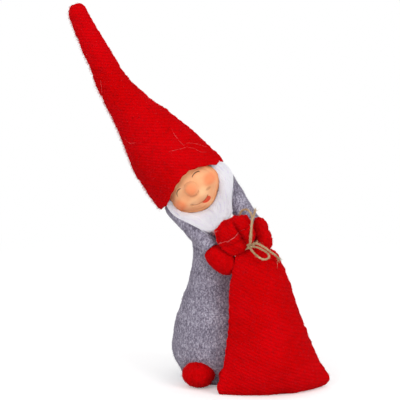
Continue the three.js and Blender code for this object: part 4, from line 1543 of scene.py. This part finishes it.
@dataclass
class KnittedSack:
    """The stuffed sack: a flat pillow bag with pointed lower corners, gathered at its neck."""

    rows: int = 210
    columns: int = 216
    turn: float = 16.0
    half: float = 44.0
    depth: float = 23.0
    slack: float = 0.9
    cap: float = 1.8
    blend_reach: float = 15.0
    nap_count: int = 14000

    def form(self) -> SoftForm:
        """The sack's stations, from the floor to its tie.

        Returns:
            The form.
        """
        table = np.array([
            (53.6, -38.6, -0.5, 0.84, 0.46, 0.6), (54.2, -38.6, 1.6, 0.95, 0.62, 0.7),
            (55, -38.4, 6, 1, 0.76, 0.9), (54.2, -38, 13, 0.93, 0.9, 0.9), (52.6, -37.2, 22, 0.83, 1, 0.8),
            (50.4, -36, 36, 0.74, 0.98, 0.7), (47.9, -34.4, 54, 0.645, 0.86, 0.65),
            (45.3, -32.4, 70, 0.575, 0.76, 0.6), (43.6, -30.6, 83, 0.51, 0.66, 0.5),
            (42.6, -28.4, 94, 0.42, 0.46, 0.35), (41.4, -27.2, 101, 0.34, 0.36, 0.2),
            (39.3, -26.8, 107.2, 0.14, 0.2, 0)])
        table[:, 3] *= self.half
        table[:, 4] *= self.depth
        angle = math.radians(self.turn)
        return SoftForm(table, np.array([-math.sin(angle), math.cos(angle), 0.0]), level=True)

    def surface(self) -> Array:
        """The closed grid.

        The cloth is settled over its filling and held at the corners, the neck and the side
        seams. Height = ripples + seam ridges with puckers + pleats that fade from the neck.

        Returns:
            The grid.
        """
        form = self.form()
        rows, columns = 44, 56
        t = np.linspace(0, 1, rows)[:, None]
        angle = ring_angles(columns)[None]
        start, cut = form.at(t, angle, -self.slack), form.at(t, angle, self.slack)
        held = (np.abs(np.abs(angle) - math.pi / 2) < 0.03) | (t < 0.04) | (t > 0.93)
        move = settle(start, cut, held, self.cap)
        move = move + (start - form.at(t, angle)) * 0.8
        t = np.linspace(0, 1, self.rows)[:, None]
        angle = ring_angles(self.columns)[None]
        grid = form.at(t, angle) + stretch(move, self.rows, self.columns)
        lump = 0.2 * ripple(grid, 3.2, 21) + 0.3 * ripple(grid, 8.5, 22) + 0.5 * ripple(grid, 26, 23)
        off = np.abs(np.abs(angle) - math.pi / 2) * form.frames(t)[3][:, 0, :1]
        puckers = 0.8 + 0.6 * ripple(grid, 5.0, 24)
        seam = (0.65 * hill(off, 1.2) - 0.45 * hill(off - 3, 1.6)) * puckers
        pleats = np.cos(9 * angle + 1.5 * np.sin(3 * angle)) * np.exp(-(1 - t) / 0.11) * 1.1
        drag = 0.5 * np.sin(5 * angle + 2) * np.exp(-(1 - t) / 0.3)
        foot = smooth(0.0, 0.06, t)
        rise = (lump + seam) * foot + (pleats + drag) * smooth(1.0, 0.97, t)
        grid = grid + grid_normals(grid) * rise[..., None]
        grid[..., 2] = np.maximum(grid[..., 2], FLOOR_GAP)
        return grid

    def build(self, wardrobe: Wardrobe) -> None:
        """Makes the sack and its nap.

        Args:
            wardrobe: the finishes.
        """
        grid = self.surface()
        bag = piece("sack_cloth", Shell(grid), wardrobe.sack_knit, None,
                    ["sack_front", "sack_back"])
        hairs = nap(*scatter(grid, self.nap_count, 31), 1.7, 0.075, 31, 0.75)
        fuzz = piece("sack_nap", hairs, wardrobe.red_nap, None)
        for obj in (bag, fuzz):
            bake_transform(obj)


@dataclass
class GatheredMouth:
    """The sack's open mouth above the tie: thin cloth in folds, its front lip lower than its back."""

    rows: int = 90
    columns: int = 176
    front_lip: float = 0.7
    nap_count: int = 1800

    def form(self) -> SoftForm:
        """The mouth's stations, from the tie up and to the viewer's left."""
        return SoftForm(np.array([
            (35.2, -27, 106.5, 5.2, 5.2, 0), (31.6, -28.6, 110, 11, 7.8, 0), (28, -29.6, 113.8, 14.2, 9.2, 0),
            (25.2, -30.2, 117.8, 14.6, 9.2, 0), (22.1, -30.4, 124.2, 14.4, 8.8, 0)]))

    def folds(self, t: Array, angle: Array) -> Array:
        """Depth of the folds: uneven waves round the mouth, deeper towards the lip, a deep pocket
        and a crease in front, and a swelling to each side over the tie.

        Args:
            t: share of the height.
            angle: round the mouth, from the front.

        Returns:
            The depth at each point.
        """
        wave = 0.9 * np.cos(5 * angle + 0.7 * np.sin(2 * angle)) + 0.5 * np.cos(8 * angle + 2 + 2 * t)
        pocket = -5.6 * hill(angle - 0.05 - 0.4 * t, 0.17) * smooth(0.16, 0.36, t)
        puff = 1.8 * hill(angle + 0.45, 0.5) * smooth(0.05, 0.4, t)
        crease = -1.3 * hill(t - 0.47 + 0.12 * angle, 0.06) * np.exp(-((angle + 0.4) / 0.8) ** 4)
        left = 2.6 * hill(angle + 1.2, 0.7) * hill(t - 0.2, 0.17)
        right = 1.7 * hill(angle - 1.2, 0.6) * hill(t - 0.12, 0.14)
        folds = (wave * smooth(0.0, 0.5, t) * 0.85 + pocket + puff + crease) * smooth(0.0, 0.25, t)
        return folds + left + right

    def build(self, wardrobe: Wardrobe) -> None:
        """Makes the cloth as a wall up to its lip, then the bunched folds that fill the mouth.

        The folds are rings drawn from the lip to a middle point, with a furrow behind the lip:
        height = puff * sin(share) - furrow * exp(-(share / width)^2).

        Args:
            wardrobe: the finishes.
        """
        form, angle = self.form(), ring_angles(self.columns)[None]
        back = smooth(1.0, 1.9, np.abs(angle + 0.1))
        edge = self.front_lip + (1.0 - self.front_lip) * back
        edge = np.minimum(edge + 0.018 * np.sin(angle * 6 + 1) + 0.012 * np.sin(17 * angle), 1.0)
        share = np.linspace(0, 1, self.rows)[:, None]
        t = edge * share
        outer = form.at(t, angle, self.folds(t, angle) - 0.3)
        centre, across, front, _ = form.frames(np.array([0.97]))
        up = np.cross(front, across)[0]
        middle = centre[0] - front[0] * 1.5 + across[0] * 0.8
        inward = np.linspace(0.03, 0.96, 46)[:, None]
        inner = outer[-1][None] * (1 - inward[..., None]) + middle * inward[..., None]
        low = (1 - back) * (1.0 - self.front_lip)
        furrow = 3.4 * (0.35 + low / 0.3) * hill(inward - 0.12, 0.075)
        puff = 2.6 * np.sin(inward ** 0.8 * math.pi) + 7.5 * low * smooth(0.1, 0.55, inward)
        waves = 0.8 * np.cos(5 * angle + 0.7 * np.sin(2 * angle)) * (1 - inward)
        waves = waves + 0.5 * np.cos(3 * angle + 9 * inward)
        dark = 4.0 * hill(angle - 0.33, 0.22) * hill(inward - 0.2, 0.2)
        inner = inner + up * (puff + waves * smooth(0, 0.2, inward) - furrow - dark)[..., None]
        grid = np.concatenate([outer, inner])
        lump = 0.16 * ripple(grid, 3.0, 41) + 0.25 * ripple(grid, 7.5, 42)
        grid = grid + grid_normals(grid) * lump[..., None]
        obj = piece("mouth_cloth", Shell(grid), wardrobe.sack_knit, replaces=["sack_mouth"])
        hairs = nap(*scatter(grid, self.nap_count, 43), 1.6, 0.08, 43)
        piece("mouth_nap", hairs, wardrobe.red_nap)
        self.threads(outer[-1], wardrobe)

    def threads(self, rim: Array, wardrobe: Wardrobe) -> None:
        """Pale cut yarns: a few run along the front of the lip and others hang off its left end.

        Args:
            rim: the lip's points.
            wardrobe: the finishes.
        """
        paths = []
        for start, span, lift in ((0.3, 0.26, 0.5), (0.34, 0.2, 0.9), (0.42, 0.18, 0.3), (0.24, 0.12, 0.7)):
            index = (np.linspace(start, start + span, 14) * self.columns).astype(int) % self.columns
            wobble = np.sin(np.linspace(0, 9, 14) + lift * 20)[:, None]
            paths.append(rim[index] + np.array([0.0, -lift, 0.25]) + wobble * np.array([0.1, 0.15, 0.35]))
        left = rim[np.argmin(rim[:, 0])]
        rng = np.random.default_rng(44)
        ways = unit(rng.normal(size=(12, 3)) * [0.5, 0.5, 0.7] + [-1.0, -0.7, -0.1])
        reach = np.linspace(0, 1, 14)[None, :, None] * rng.uniform(2.0, 4.6, (12, 1, 1))
        sag = np.array([0, 0, -0.12]) * reach ** 2
        roots = left + np.array([1.4, -1.6, -0.8]) + rng.normal(size=(12, 1, 3)) * 0.9
        loose = roots + ways[:, None] * reach + sag
        yarns = tubes(np.concatenate([np.array(paths), loose]), 0.045)
        piece("mouth_threads", yarns, wardrobe.pale_hair)


def carried_frame(path: Array) -> tuple[Array, Array]:
    """Two directions square to a path that turn no more than it does: each step keeps the last
    side direction less its part along the path.

    Args:
        path: points along a cord.

    Returns:
        Sideways and upward directions.
    """
    along = unit(np.gradient(path, axis=0))
    side = np.empty_like(path)
    last = unit(np.cross(along[0], [0.3, 0.2, 1.0]))
    for k, way in enumerate(along):
        last = unit(last - way * (last @ way))
        side[k] = last
    return side, np.cross(along, side)


@dataclass
class Twine:
    """Jute twine of two strands: a ring round the sack's neck, a knot, two loops and two ends."""

    radius: float = 0.8
    lay: float = 5.0
    sides: int = 16
    tie_radius: float = 7.6
    tie_lean: float = 27.0
    tie_start: float = -84.0
    knot_centre: Triple = (36.4, -36.8, 108.2)
    knot_size: Triple = (0.62, 1.35, 0.55)
    knot_radius: float = 0.85
    high_loop: tuple[Triple, ...] = (
        (37, -37.2, 111.1), (37.2, -37.3, 113.5), (37.3, -36.9, 116.2), (37.4, -36.2, 119),
        (37.6, -35.3, 121.8), (37.8, -34.1, 124.6), (38, -32.5, 127.2), (37.9, -30.6, 129.6),
        (37, -28.6, 131.6), (35.4, -27, 133), (33.6, -25.6, 133.5), (31.8, -24, 133),
        (30.3, -22.6, 131.4), (29.4, -21.3, 129), (29.2, -20.2, 126), (29.6, -19.2, 122.6),
        (30.6, -18.4, 119), (31.8, -17.9, 115.6), (33.2, -17.8, 112.4), (34.4, -18.2, 109.6),
        (34.9, -18.8, 107.9))
    low_loop: tuple[Triple, ...] = (
        (38.2, -37.7, 108.2), (39.8, -38.6, 108.2), (41.6, -39.6, 107.9), (43.9, -40.7, 107.1),
        (46.4, -41.7, 105.9), (48.7, -42.2, 104.4), (50.1, -42.4, 102.6), (49.9, -42.6, 100.8),
        (48.4, -42.8, 99.7), (46.2, -43, 99.6), (43.7, -42.9, 100.6), (41.4, -42.3, 102.2),
        (39.5, -41.2, 103.8), (38, -39.9, 105.3), (37, -38.6, 106.6))
    long_tail: tuple[Triple, ...] = (
        (38.4, -38.3, 110.2), (40.1, -40.6, 111.1), (41.9, -42.8, 111), (43.7, -44.6, 110.6),
        (45.6, -45.8, 109.7), (47.4, -46.3, 108.6), (49.3, -46, 107.1), (51.1, -44.9, 105.5),
        (52.9, -43, 103.9), (54.6, -40.6, 102.4), (56, -38, 100.7), (57, -35.6, 99.2), (57.8, -33.6, 98))
    short_tail: tuple[Triple, ...] = (
        (36.2, -39.5, 110.1), (36.4, -41.2, 112.4), (36.3, -42.8, 114.9), (36.5, -44, 117.5),
        (36.8, -44.5, 120), (37.1, -44, 122.4), (37.3, -42.6, 124.5), (37.6, -40.5, 126.4),
        (38.1, -38.2, 128.1), (38.8, -35.8, 129.6), (39.5, -33.4, 131.1), (40.1, -31.2, 132.4),
        (40.4, -29.6, 133.3))

    def strand(self, path: Array, radius: float) -> Shell:
        """Laid twine along a path: radius * (0.66 + 0.34 |cos(angle - turn)|), where turn grows
        by a full circle in each lay.

        Args:
            path: its middle line.
            radius: of both strands together.

        Returns:
            The twine, tagged with its lay.
        """
        side, top = carried_frame(path)
        gone = np.r_[0, np.cumsum(np.linalg.norm(np.diff(path, axis=0), axis=1))][:, None]
        angle = ring_angles(self.sides)[None]
        ply = angle - gone * (2 * math.pi / self.lay)
        reach = radius * (0.66 + 0.34 * np.abs(np.cos(ply)))[..., None]
        ring = side[:, None] * np.cos(angle)[..., None] + top[:, None] * np.sin(angle)[..., None]
        tag = np.stack([gone + 0 * ply, ply * radius, 0 * ply], -1)
        return Shell(path[:, None] + ring * reach, tag)

    def frayed(self, path: Array, count: int, length: float, seed: int) -> Geometry:
        """Fibres that splay out of a cut end: end + way * s + droop * s^2.

        Args:
            path: the twine's line.
            count: fibres.
            length: their mean length.
            seed: of the random numbers.

        Returns:
            Points and faces.
        """
        rng = np.random.default_rng(seed)
        end_way = unit(path[-1] - path[-6])
        ways = unit(end_way + rng.normal(size=(count, 3)) * 0.42)
        s = np.linspace(0, 1, 7)[None, :, None] * length * rng.uniform(0.4, 1.3, (count, 1, 1))
        bend = rng.normal(size=(count, 1, 3)) * 0.05
        roots = path[-1] - end_way * 0.8 + rng.normal(size=(count, 1, 3)) * 0.22
        paths = roots + ways[:, None] * s + bend * s ** 2
        return tubes(paths, np.linspace(0.1, 0.035, 7))

    def bristles(self, path: Array, count: int, seed: int) -> Geometry:
        """Short fibres that stand off the twine.

        Args:
            path: the twine's line.
            count: fibres.
            seed: of the random numbers.

        Returns:
            Points and faces.
        """
        rng = np.random.default_rng(seed)
        at = rng.integers(2, len(path) - 2, count)
        out = unit(rng.normal(size=(count, 3)))
        along = unit(path[at] - path[at - 1])
        s = np.linspace(0, 1, 4)[None, :, None] * rng.uniform(1.0, 3.2, (count, 1, 1))
        paths = path[at][:, None] + (out * 0.62)[:, None] + (along * 0.8 + out * 0.5)[:, None] * s
        return tubes(paths, np.linspace(0.055, 0.025, 4))

    def build(self, wardrobe: Wardrobe) -> None:
        """Makes the free lengths as cords, then the ring and the knot.

        Args:
            wardrobe: the finishes.
        """
        for index, (name, route, fray) in enumerate((
                ("twine_loop_high", self.high_loop, 0.0), ("twine_loop_low", self.low_loop, 0.0),
                ("twine_tail_long", self.long_tail, 5.2), ("twine_tail_short", self.short_tail, 3.6))):
            way = spline(np.array(route), np.linspace(0, 1, 12 * len(route)))
            label = name.replace("twine", "jute")
            obj = piece(label, self.strand(way, self.radius), wardrobe.jute, replaces=[name])
            sets = [self.bristles(way, 9 * len(route), 50 + index)]
            if fray:
                sets.append(self.frayed(way, 40, fray, 60 + index))
            fibres = piece(label + "_fibres", together(*sets), wardrobe.jute_fibre)
        self.build_ring_and_knot(wardrobe)

    def build_ring_and_knot(self, wardrobe: Wardrobe) -> None:
        """The ring is a circle about the neck, the knot a loop that threads itself:
        (sin a + 2 sin 2a, -sin 3a, cos a - 2 cos 2a).

        Args:
            wardrobe: the finishes.
        """
        lean = math.radians(self.tie_lean)
        start = math.radians(self.tie_start)
        a = np.linspace(start, start + 2 * math.pi, 150)[:, None]
        first, second = np.array([math.cos(lean), 0, math.sin(lean)]), np.array([0.0, 1.0, 0.0])
        ring = NECK_TIE + self.tie_radius * (first * np.cos(a) + second * np.sin(a))
        piece("jute_ring", self.strand(ring, self.radius), wardrobe.jute, replaces=["twine_tie"])
        a = np.linspace(0, 2 * math.pi, 130)
        knot = np.stack([np.sin(a) + 2 * np.sin(2 * a), -np.sin(3 * a), np.cos(a) - 2 * np.cos(2 * a)], -1)
        knot = np.array(self.knot_centre) + knot * self.knot_size
        piece("jute_knot", self.strand(knot, self.knot_radius), wardrobe.jute,
              replaces=["twine_knot"])


@dataclass
class Beard:
    """White combed hair and beard round the face, over a soft pad of the same fibre.

    guides are lines of flow from the face's edge to the tip, from the viewer's left round to
    the right, each point as view steps to the right and down of the picture's middle, and its
    depth in millimetres. step is a view step in millimetres, view_drop the slope of the view
    and view_height where its middle lies. A strand is a mix of its neighbouring guides.
    """

    guides: tuple[tuple[Triple, ...], ...] = (
        ((-34, 4, -8), (-29, 10.5, -13.5), (-24, 16, -17.5), (-18, 19.5, -21.5),
         (-11, 23, -25), (-3, 26.5, -27), (4, 30, -27.5), (10.5, 32.5, -26)),
        ((-28.8, 2.6, -6.5), (-26, 9.6, -13.5), (-20.6, 15, -18.8), (-14, 17, -22.5),
         (-7, 20.5, -25), (0, 24, -26.2), (6, 28, -26.5), (11, 31.6, -26)),
        ((-22.9, 12, -6.8), (-18, 13, -15), (-13, 15, -20), (-7, 17.5, -22.8),
         (-1, 20.5, -24.3), (4, 23.7, -25.2), (8, 27.6, -25.8), (12, 31.4, -25.8)),
        ((-9.2, 14.4, -10.5), (-5, 14.7, -16), (0, 16.7, -19.6), (4, 19.2, -22),
         (7.5, 22.2, -23.8), (10, 25.2, -24.8), (12, 28.4, -25.4), (13.5, 31.4, -25.5)),
        ((6.9, 10.2, -12.8), (9.6, 11.7, -17), (12.2, 14.5, -19.4), (14, 17.7, -21.2),
         (15, 21, -22.6), (15.3, 24.5, -23.8), (15.1, 28, -24.7), (14.6, 31.3, -25)),
        ((16.4, -1, -10.8), (17.8, 3.5, -15), (19.2, 8.5, -17.8), (20, 13, -19.6),
         (20, 17.5, -21.2), (19.2, 22, -22.5), (17.7, 26.5, -23.7), (15.6, 30.8, -24.6)),
        ((19.8, -16, -9.5), (22.2, -10, -13.5), (24.1, -3.5, -16.8), (25.1, 3, -19),
         (25, 9.5, -20.4), (24, 15.5, -21.4), (21.5, 21.8, -22.6), (17, 28.8, -24)),
        ((12.8, -35.8, -7.5), (20.5, -28.5, -12), (25.8, -19.5, -15.5), (27.6, -11, -17.8),
         (27.8, -2, -19), (27.4, 6.5, -19.8), (26, 15.5, -20.8), (20.5, 26.3, -22.6)),
        ((22.5, -38, -6.5), (29, -31.5, -7.5), (32, -24.5, -11.5), (32.2, -15, -15.5),
         (31, -6, -17.8), (30.6, 3, -18.8), (31.6, 11, -19.3), (27, 22.3, -20.8)))
    step: float = 0.738
    view_drop: float = 0.158
    view_height: float = 136.5
    root_depth: float = 5.5
    middle: Triple = (1.0, 6.0, 5.0)
    radii: Triple = (40.0, 26.0, 40.0)
    strands: int = 2600
    loose_hairs: int = 1300
    locks: int = 64
    steps: int = 12
    nape_hairs: int = 900
    nape_turn: Pair = (-17.0, 165.0)
    nape_rise: Pair = (38.0, -46.0)
    nape_reach: float = 20.4

    def __post_init__(self) -> None:
        """Turns the guides into places: the view's steps by their size, with z raised by the
        view's slope times the depth, and a root behind each start."""
        right, down, depth = np.moveaxis(np.array(self.guides), -1, 0)
        height = self.view_height - self.step * down - self.view_drop * depth
        lines = np.stack([right * self.step, depth, height], -1)
        roots = lines[:, :1] + [0, self.root_depth, 0]
        self.lines = np.concatenate([roots, lines], 1)

    def flow(self, across: Array, along: Array) -> Array:
        """Points of the guides' surface, across 0 to 1 over the guides and along 0 to 1."""
        mix = spline(np.eye(self.lines.shape[0]), across, False)
        down = spline(np.eye(self.lines.shape[1]), along, False)
        return np.einsum("...a,...b,abk->...k", mix, down, self.lines)

    def outward(self, points: Array) -> Array:
        """Directions out of the round mass that the hair lies on."""
        middle = np.array(self.middle) + [0, 0, NECK_HEIGHT]
        return unit((points - middle) / np.array(self.radii) ** 2)

    def pad(self, wardrobe: Wardrobe) -> None:
        """A closed sheet under the strands, 0.9 mm behind the flow and up to 2.8 mm thick, with
        furrows along the flow.

        Args:
            wardrobe: the finishes.
        """
        across, along = np.meshgrid(np.linspace(0, 1, 200), np.linspace(0, 1, 60))
        face = self.flow(across, along)
        furrows = np.sin(across * 190 + 3 * np.sin(along * 5 + across * 9)) + np.sin(across * 83 + 5 * along)
        away = np.array([0.0, 1.0, -self.view_drop])
        front = face + away * (0.9 - 0.28 * furrows)[..., None]
        inset = np.minimum(np.minimum(across, 1 - across) * 9, np.minimum(along, 1 - along) * 8)
        back = front + away * (0.15 + 2.6 * np.minimum(1, inset))[..., None]
        tag = np.stack([across * 40, along, across * 9], -1).reshape(-1, 3)
        piece("beard_pad", closed_sheet(front, back), wardrobe.beard, replaces=["beard"],
              tags={"strand_at": np.vstack([tag, tag])})

    def dress(self, name: str, paths: Array, radii: Array, wardrobe: Wardrobe, seed: int) -> None:
        """Makes strands, each with its own random number and its length as a tag.

        Args:
            name: the piece's name.
            paths: a line for each strand.
            radii: along each strand.
            wardrobe: the finishes.
            seed: of the random numbers.
        """
        points, faces = tubes(paths, radii, 0.6)
        count, steps = paths.shape[:2]
        rng = np.random.default_rng(seed)
        own = np.repeat(rng.uniform(0, 60, count), points.shape[0] // count)
        along = np.tile(np.r_[np.repeat(np.linspace(0, 1, steps)[:-1], 3), 1.0], count)
        tag = np.stack([own, along, own * 0.37], -1)
        piece(name, (points, faces), wardrobe.beard, tags={"strand_at": tag})

    def combed(self, count: int, seed: int, lift: float, radius: float, loose: float) -> tuple[Array, Array]:
        """Strands in locks that draw together towards their tips.

        Args:
            count: number of strands.
            seed: of the random numbers.
            lift: mean height over the flow, in millimetres.
            radius: of a strand at its middle.
            loose: how far strands stray from their lock and from the surface.

        Returns:
            Paths and radii.
        """
        rng = np.random.default_rng(seed)
        places = np.arange(self.locks) + rng.uniform(0, 1, self.locks)
        lock = places[rng.integers(0, self.locks, count)] / self.locks
        spread = rng.normal(size=count) * 0.011 * (1 + loose)
        first = rng.choice([0.0, 1.0], count, p=[0.6, 0.4]) * rng.uniform(0, 0.5, count)
        finish = np.minimum(first + rng.uniform(0.45, 1.0, count), 1.0)
        s = np.linspace(0, 1, self.steps)[None]
        along = first[:, None] + (finish - first)[:, None] * s
        across = np.clip(lock[:, None] + spread[:, None] * (1 - 0.5 * s), 0, 1)
        paths = self.flow(across, along)
        out = self.outward(paths)
        high = 0.75 * np.cos(np.clip(spread / 0.022 / (1 + loose), -1, 1) * math.pi / 2)[:, None]
        arch = np.sin(np.clip(s * 1.2 + 0.1, 0, 1) * math.pi * 0.5)
        rise = (lift + high) * arch - 0.6 + rng.normal(size=(count, 1)) * 0.16
        sway = rng.normal(size=(count, 1, 3)) * np.sin(s * math.pi * 1.6)[..., None] * (0.18 + loose)
        sway = sway + rng.normal(size=(count, 1, 3)) * (s ** 3)[..., None] * (0.2 + loose)
        paths = paths + out * rise[..., None] + sway
        return paths, np.maximum(radius * np.sin(np.clip(s * 0.92 + 0.08, 0, 1) * math.pi) ** 0.5, 0.03)

    def nape(self) -> tuple[Array, Array]:
        """Hair over the back of the head: lines of longitude on a ball about its middle.

        Returns:
            Paths and radii.
        """
        rng = np.random.default_rng(77)
        count = self.nape_hairs
        turn = rng.uniform(*np.radians(self.nape_turn), count)[:, None]
        rise = np.radians(np.linspace(*self.nape_rise, 9))[None] + rng.normal(size=(count, 1)) * 0.05
        turn = turn + 0.06 * np.sin(rise * 5 + rng.uniform(0, 6, (count, 1)))
        reach = self.nape_reach + rng.uniform(0, 1.1, (count, 1)) + 1.6 * smooth(-0.45, -0.8, rise)
        paths = HEAD_CENTRE + reach[..., None] * np.stack(
            [np.cos(rise) * np.cos(turn), np.cos(rise) * np.sin(turn), np.sin(rise)], -1)
        return paths, 0.3 * np.sin(np.linspace(0.25, 3.0, 9)) ** 0.5

    def build(self, wardrobe: Wardrobe) -> None:
        """Makes the pad, the locks, finer hairs over them, and the hair behind.

        Args:
            wardrobe: the finishes.
        """
        self.pad(wardrobe)
        self.dress("beard_locks", *self.combed(self.strands, 72, 0.25, 0.32, 0.0), wardrobe, 1)
        self.dress("beard_loose_hair", *self.combed(self.loose_hairs, 73, 0.7, 0.13, 0.4), wardrobe, 2)
        self.dress("nape_hair", *self.nape(), wardrobe, 3)


@dataclass
class InnerParts:
    """The hidden pieces that keep their solids: wadding, foam, board, grit bag and wires."""

    finishes: tuple[tuple[str, Slot], ...] = (
        ("base_felt", Slot.GREY_FELT), ("base_board", Slot.BOARD), ("ballast_bag", Slot.CANVAS),
        ("body_filling", Slot.WADDING), ("spine_wire", Slot.WIRE), ("head_ball", Slot.FOAM),
        ("hat_filling_lower", Slot.WADDING), ("hat_wire_lower", Slot.WIRE),
        ("hat_filling_upper", Slot.WADDING), ("hat_wire_upper", Slot.WIRE),
        ("right_sleeve_filling", Slot.WADDING), ("left_sleeve_filling", Slot.WADDING),
        ("sack_filling", Slot.WADDING))

    def dress(self, wardrobe: Wardrobe) -> None:
        """Gives each kept solid its finish.

        Args:
            wardrobe: the finishes.
        """
        for node, slot in self.finishes:
            obj = bpy.data.objects[node]
            for place in obj.material_slots:
                place.material = wardrobe.hidden[slot]
            log.info("%s: finish %s", node, slot.value)


@dataclass
class Studio:
    """A plain white sweep of floor, soft lamps and the camera."""

    aim: Triple = (-0.0005, 0.0132, 0.1365)
    distance: float = 1.2
    elevation: float = 9.0
    lens: float = 144.0
    floor_radius: float = 1.6
    sky: float = 0.76
    bounce: float = 0.6
    floor_white: float = 0.93
    floor_glow: float = 0.24
    floor_fade: Pair = (0.24, 0.62)
    lamps: tuple[tuple[str, Triple, float, float], ...] = (
        ("key", (-0.9, -1.15, 0.75), 0.9, 6.7), ("fill", (0.0, -1.35, 0.15), 0.9, 1.8),
        ("side", (0.95, -0.95, 0.6), 0.7, 6.4))

    def look_at(self, obj: bpy.types.Object, place: Vector) -> None:
        """Puts a lamp or the camera at a place, facing the figure."""
        obj.location = place
        obj.rotation_euler = (Vector(self.aim) - place).to_track_quat("-Z", "Y").to_euler()

    def camera(self) -> None:
        """The photograph's view: straight in front and a little above."""
        data = bpy.data.cameras.new("photo_view")
        data.lens, data.sensor_width = self.lens, 36.0
        data.clip_end = 50.0
        obj = linked("photo_view", data)
        rise = math.radians(self.elevation)
        way = Vector((0.0, -math.cos(rise), math.sin(rise)))
        self.look_at(obj, Vector(self.aim) + way * self.distance)
        bpy.context.scene.camera = obj

    def lamp(self, name: str, place: Triple, size: float, power: float) -> None:
        """One soft square lamp.

        Args:
            name: the lamp's name.
            place: where it stands.
            size: its side.
            power: its light.
        """
        data = bpy.data.lights.new(name, "AREA")
        data.shape, data.size, data.energy = "SQUARE", size, power
        self.look_at(linked(name, data), Vector(place))

    def world(self) -> None:
        """White where the camera, gloss or glass sees it, and a soft even sky elsewhere."""
        s = Shader("studio_air", world=True)
        seen = s.node("ShaderNodeBackground", None, {0: (1, 1, 1, 1), 1: 1.0})
        lit = s.node("ShaderNodeBackground", None, {0: (1, 1, 1, 1), 1: self.sky})
        mixed = s.node("ShaderNodeMixShader", None, {0: s.straight(), 1: lit.outputs[0], 2: seen.outputs[0]})
        bpy.context.scene.world = s.close(mixed)

    def floor(self) -> None:
        """A disc that keeps the shadow near the figure and turns pure white further out."""
        rings = np.array([0.02, 0.2, 0.5, 1.0])[:, None, None] * self.floor_radius * 1000
        count, sides = len(rings), 96
        angle = ring_angles(sides)
        circle = np.stack([np.cos(angle), np.sin(angle), 0 * angle], -1)[None]
        points, faces = (circle * rings).reshape(-1, 3), [grid_quads(count, sides)[:, ::-1]]
        c = np.arange(sides)
        middle = np.stack([np.full(sides, count * sides), c, (c + 1) % sides], -1)
        points = np.vstack([points, [[0, 0, 0]]]) - FIGURE_SHIFT
        obj = linked("floor", write_mesh("floor", (points, [*faces, middle])))
        s = Shader("white_floor")
        x, y, _ = s.axes(s.place())
        far = ((x ** 2.0 + y ** 2.0) ** 0.5).step(*self.floor_fade)
        diffuse = s.node("ShaderNodeBsdfDiffuse", None, {0: (*[self.floor_white] * 3, 1)})
        glow = s.node("ShaderNodeEmission", None, {0: (1, 1, 1, 1), 1: self.floor_glow})
        lifted = s.node("ShaderNodeAddShader", None, {0: diffuse.outputs[0], 1: glow.outputs[0]})
        white = s.node("ShaderNodeEmission", None, {0: (1, 1, 1, 1), 1: 1.0})
        near = s.node("ShaderNodeMixShader", None, {0: far, 1: lifted.outputs[0], 2: white.outputs[0]})
        dim = s.node("ShaderNodeBsdfDiffuse", None, {0: (*[self.bounce] * 3, 1)})
        both = s.node("ShaderNodeMixShader", None, {0: s.straight(), 1: dim.outputs[0], 2: near.outputs[0]})
        obj.data.materials.append(s.close(both))

    def build(self) -> None:
        """Sets the scene's view, floor and light."""
        bpy.context.scene.view_settings.view_transform = "Standard"
        self.world()
        self.floor()
        for lamp in self.lamps:
            self.lamp(*lamp)


def limbs() -> list[tuple[StuffedCloth, bool]]:
    """Sleeves, mittens and feet; the second value is true for grey felt.

    Returns:
        Each limb and its kind of felt.
    """
    right_sleeve = limb_sizes([(-21.1, 4, NECK_HEIGHT - 1.4), (-15, -4, NECK_HEIGHT - 7.4), (-7.4, -13, 121),
                               (1.5, -21, 111.4), (8.4, -25.4, 104)])
    left_sleeve = limb_sizes([(13.6, 4, NECK_HEIGHT + 20.4), (21, -1, NECK_HEIGHT + 9.8), (29.1, -8, 134),
                              (37.1, -15, 122.9), (41.8, -18.6, 117.6)])
    felt = ((0.12, 2.4), (0.35, 9.0))
    wool = ((0.16, 2.4), (0.3, 6.5))
    return [
        (Sleeve("right_sleeve_cloth", "right_sleeve", SoftForm(right_sleeve), 70, 84, (0.1, 1.0), felt,
                seed=5), True),
        (Sleeve("left_sleeve_cloth", "left_sleeve", SoftForm(left_sleeve), 70, 84, (0.04, 1.0), felt,
                seed=6), True),
        (Mitten("right_mitten_cloth", "right_mitten",
                mitten_form((15.5, -27.5, 96.2), 26, 18, 18, (0.787, 0, -0.615)), 84, 96, relief=wool,
                nap_count=900, seed=7, crease=0.1, gathers=7), False),
        (Mitten("left_mitten_cloth", "left_mitten",
                mitten_form((45.8, -21, 114.2), 25.6, 14, 16, (0.28, 0, -0.96)), 84, 96, relief=wool,
                nap_count=900, seed=8, crease=0.42), False),
        (Foot("right_foot_cloth", "right_foot", ball_form((-1.1, -28, 9.5), (13, 13.6, 10)), 70, 110,
              relief=wool, floor=True, nap_count=1100, seed=9), False),
        (Foot("left_foot_cloth", "left_foot", ball_form((25.6, -25, 9.5), (13, 13.6, 10)), 70, 110,
              relief=wool, floor=True, nap_count=900, seed=10), False),
    ]


def main() -> None:
    """Builds the figure over its frame."""
    logging.basicConfig(level=logging.INFO, format="%(message)s")
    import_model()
    studio = Studio()
    studio.camera()
    wardrobe = Wardrobe()
    Twine().build(wardrobe)
    body = felt_body()
    body.build(wardrobe.grey_felt, wardrobe.grey_nap, Slot.GREY_FELT)
    for limb, grey in limbs():
        if grey:
            limb.build(wardrobe.grey_felt, wardrobe.grey_nap, Slot.GREY_FELT)
        else:
            limb.build(wardrobe.red_felt, wardrobe.red_nap, Slot.RED_FELT)
    KnittedHat().build(wardrobe)
    KnittedSack().build(wardrobe)
    GatheredMouth().build(wardrobe)
    DollFace().build(wardrobe)
    Beard().build(wardrobe)
    InnerParts().dress(wardrobe)
    studio.build()


if __name__ == "__main__":
    main()
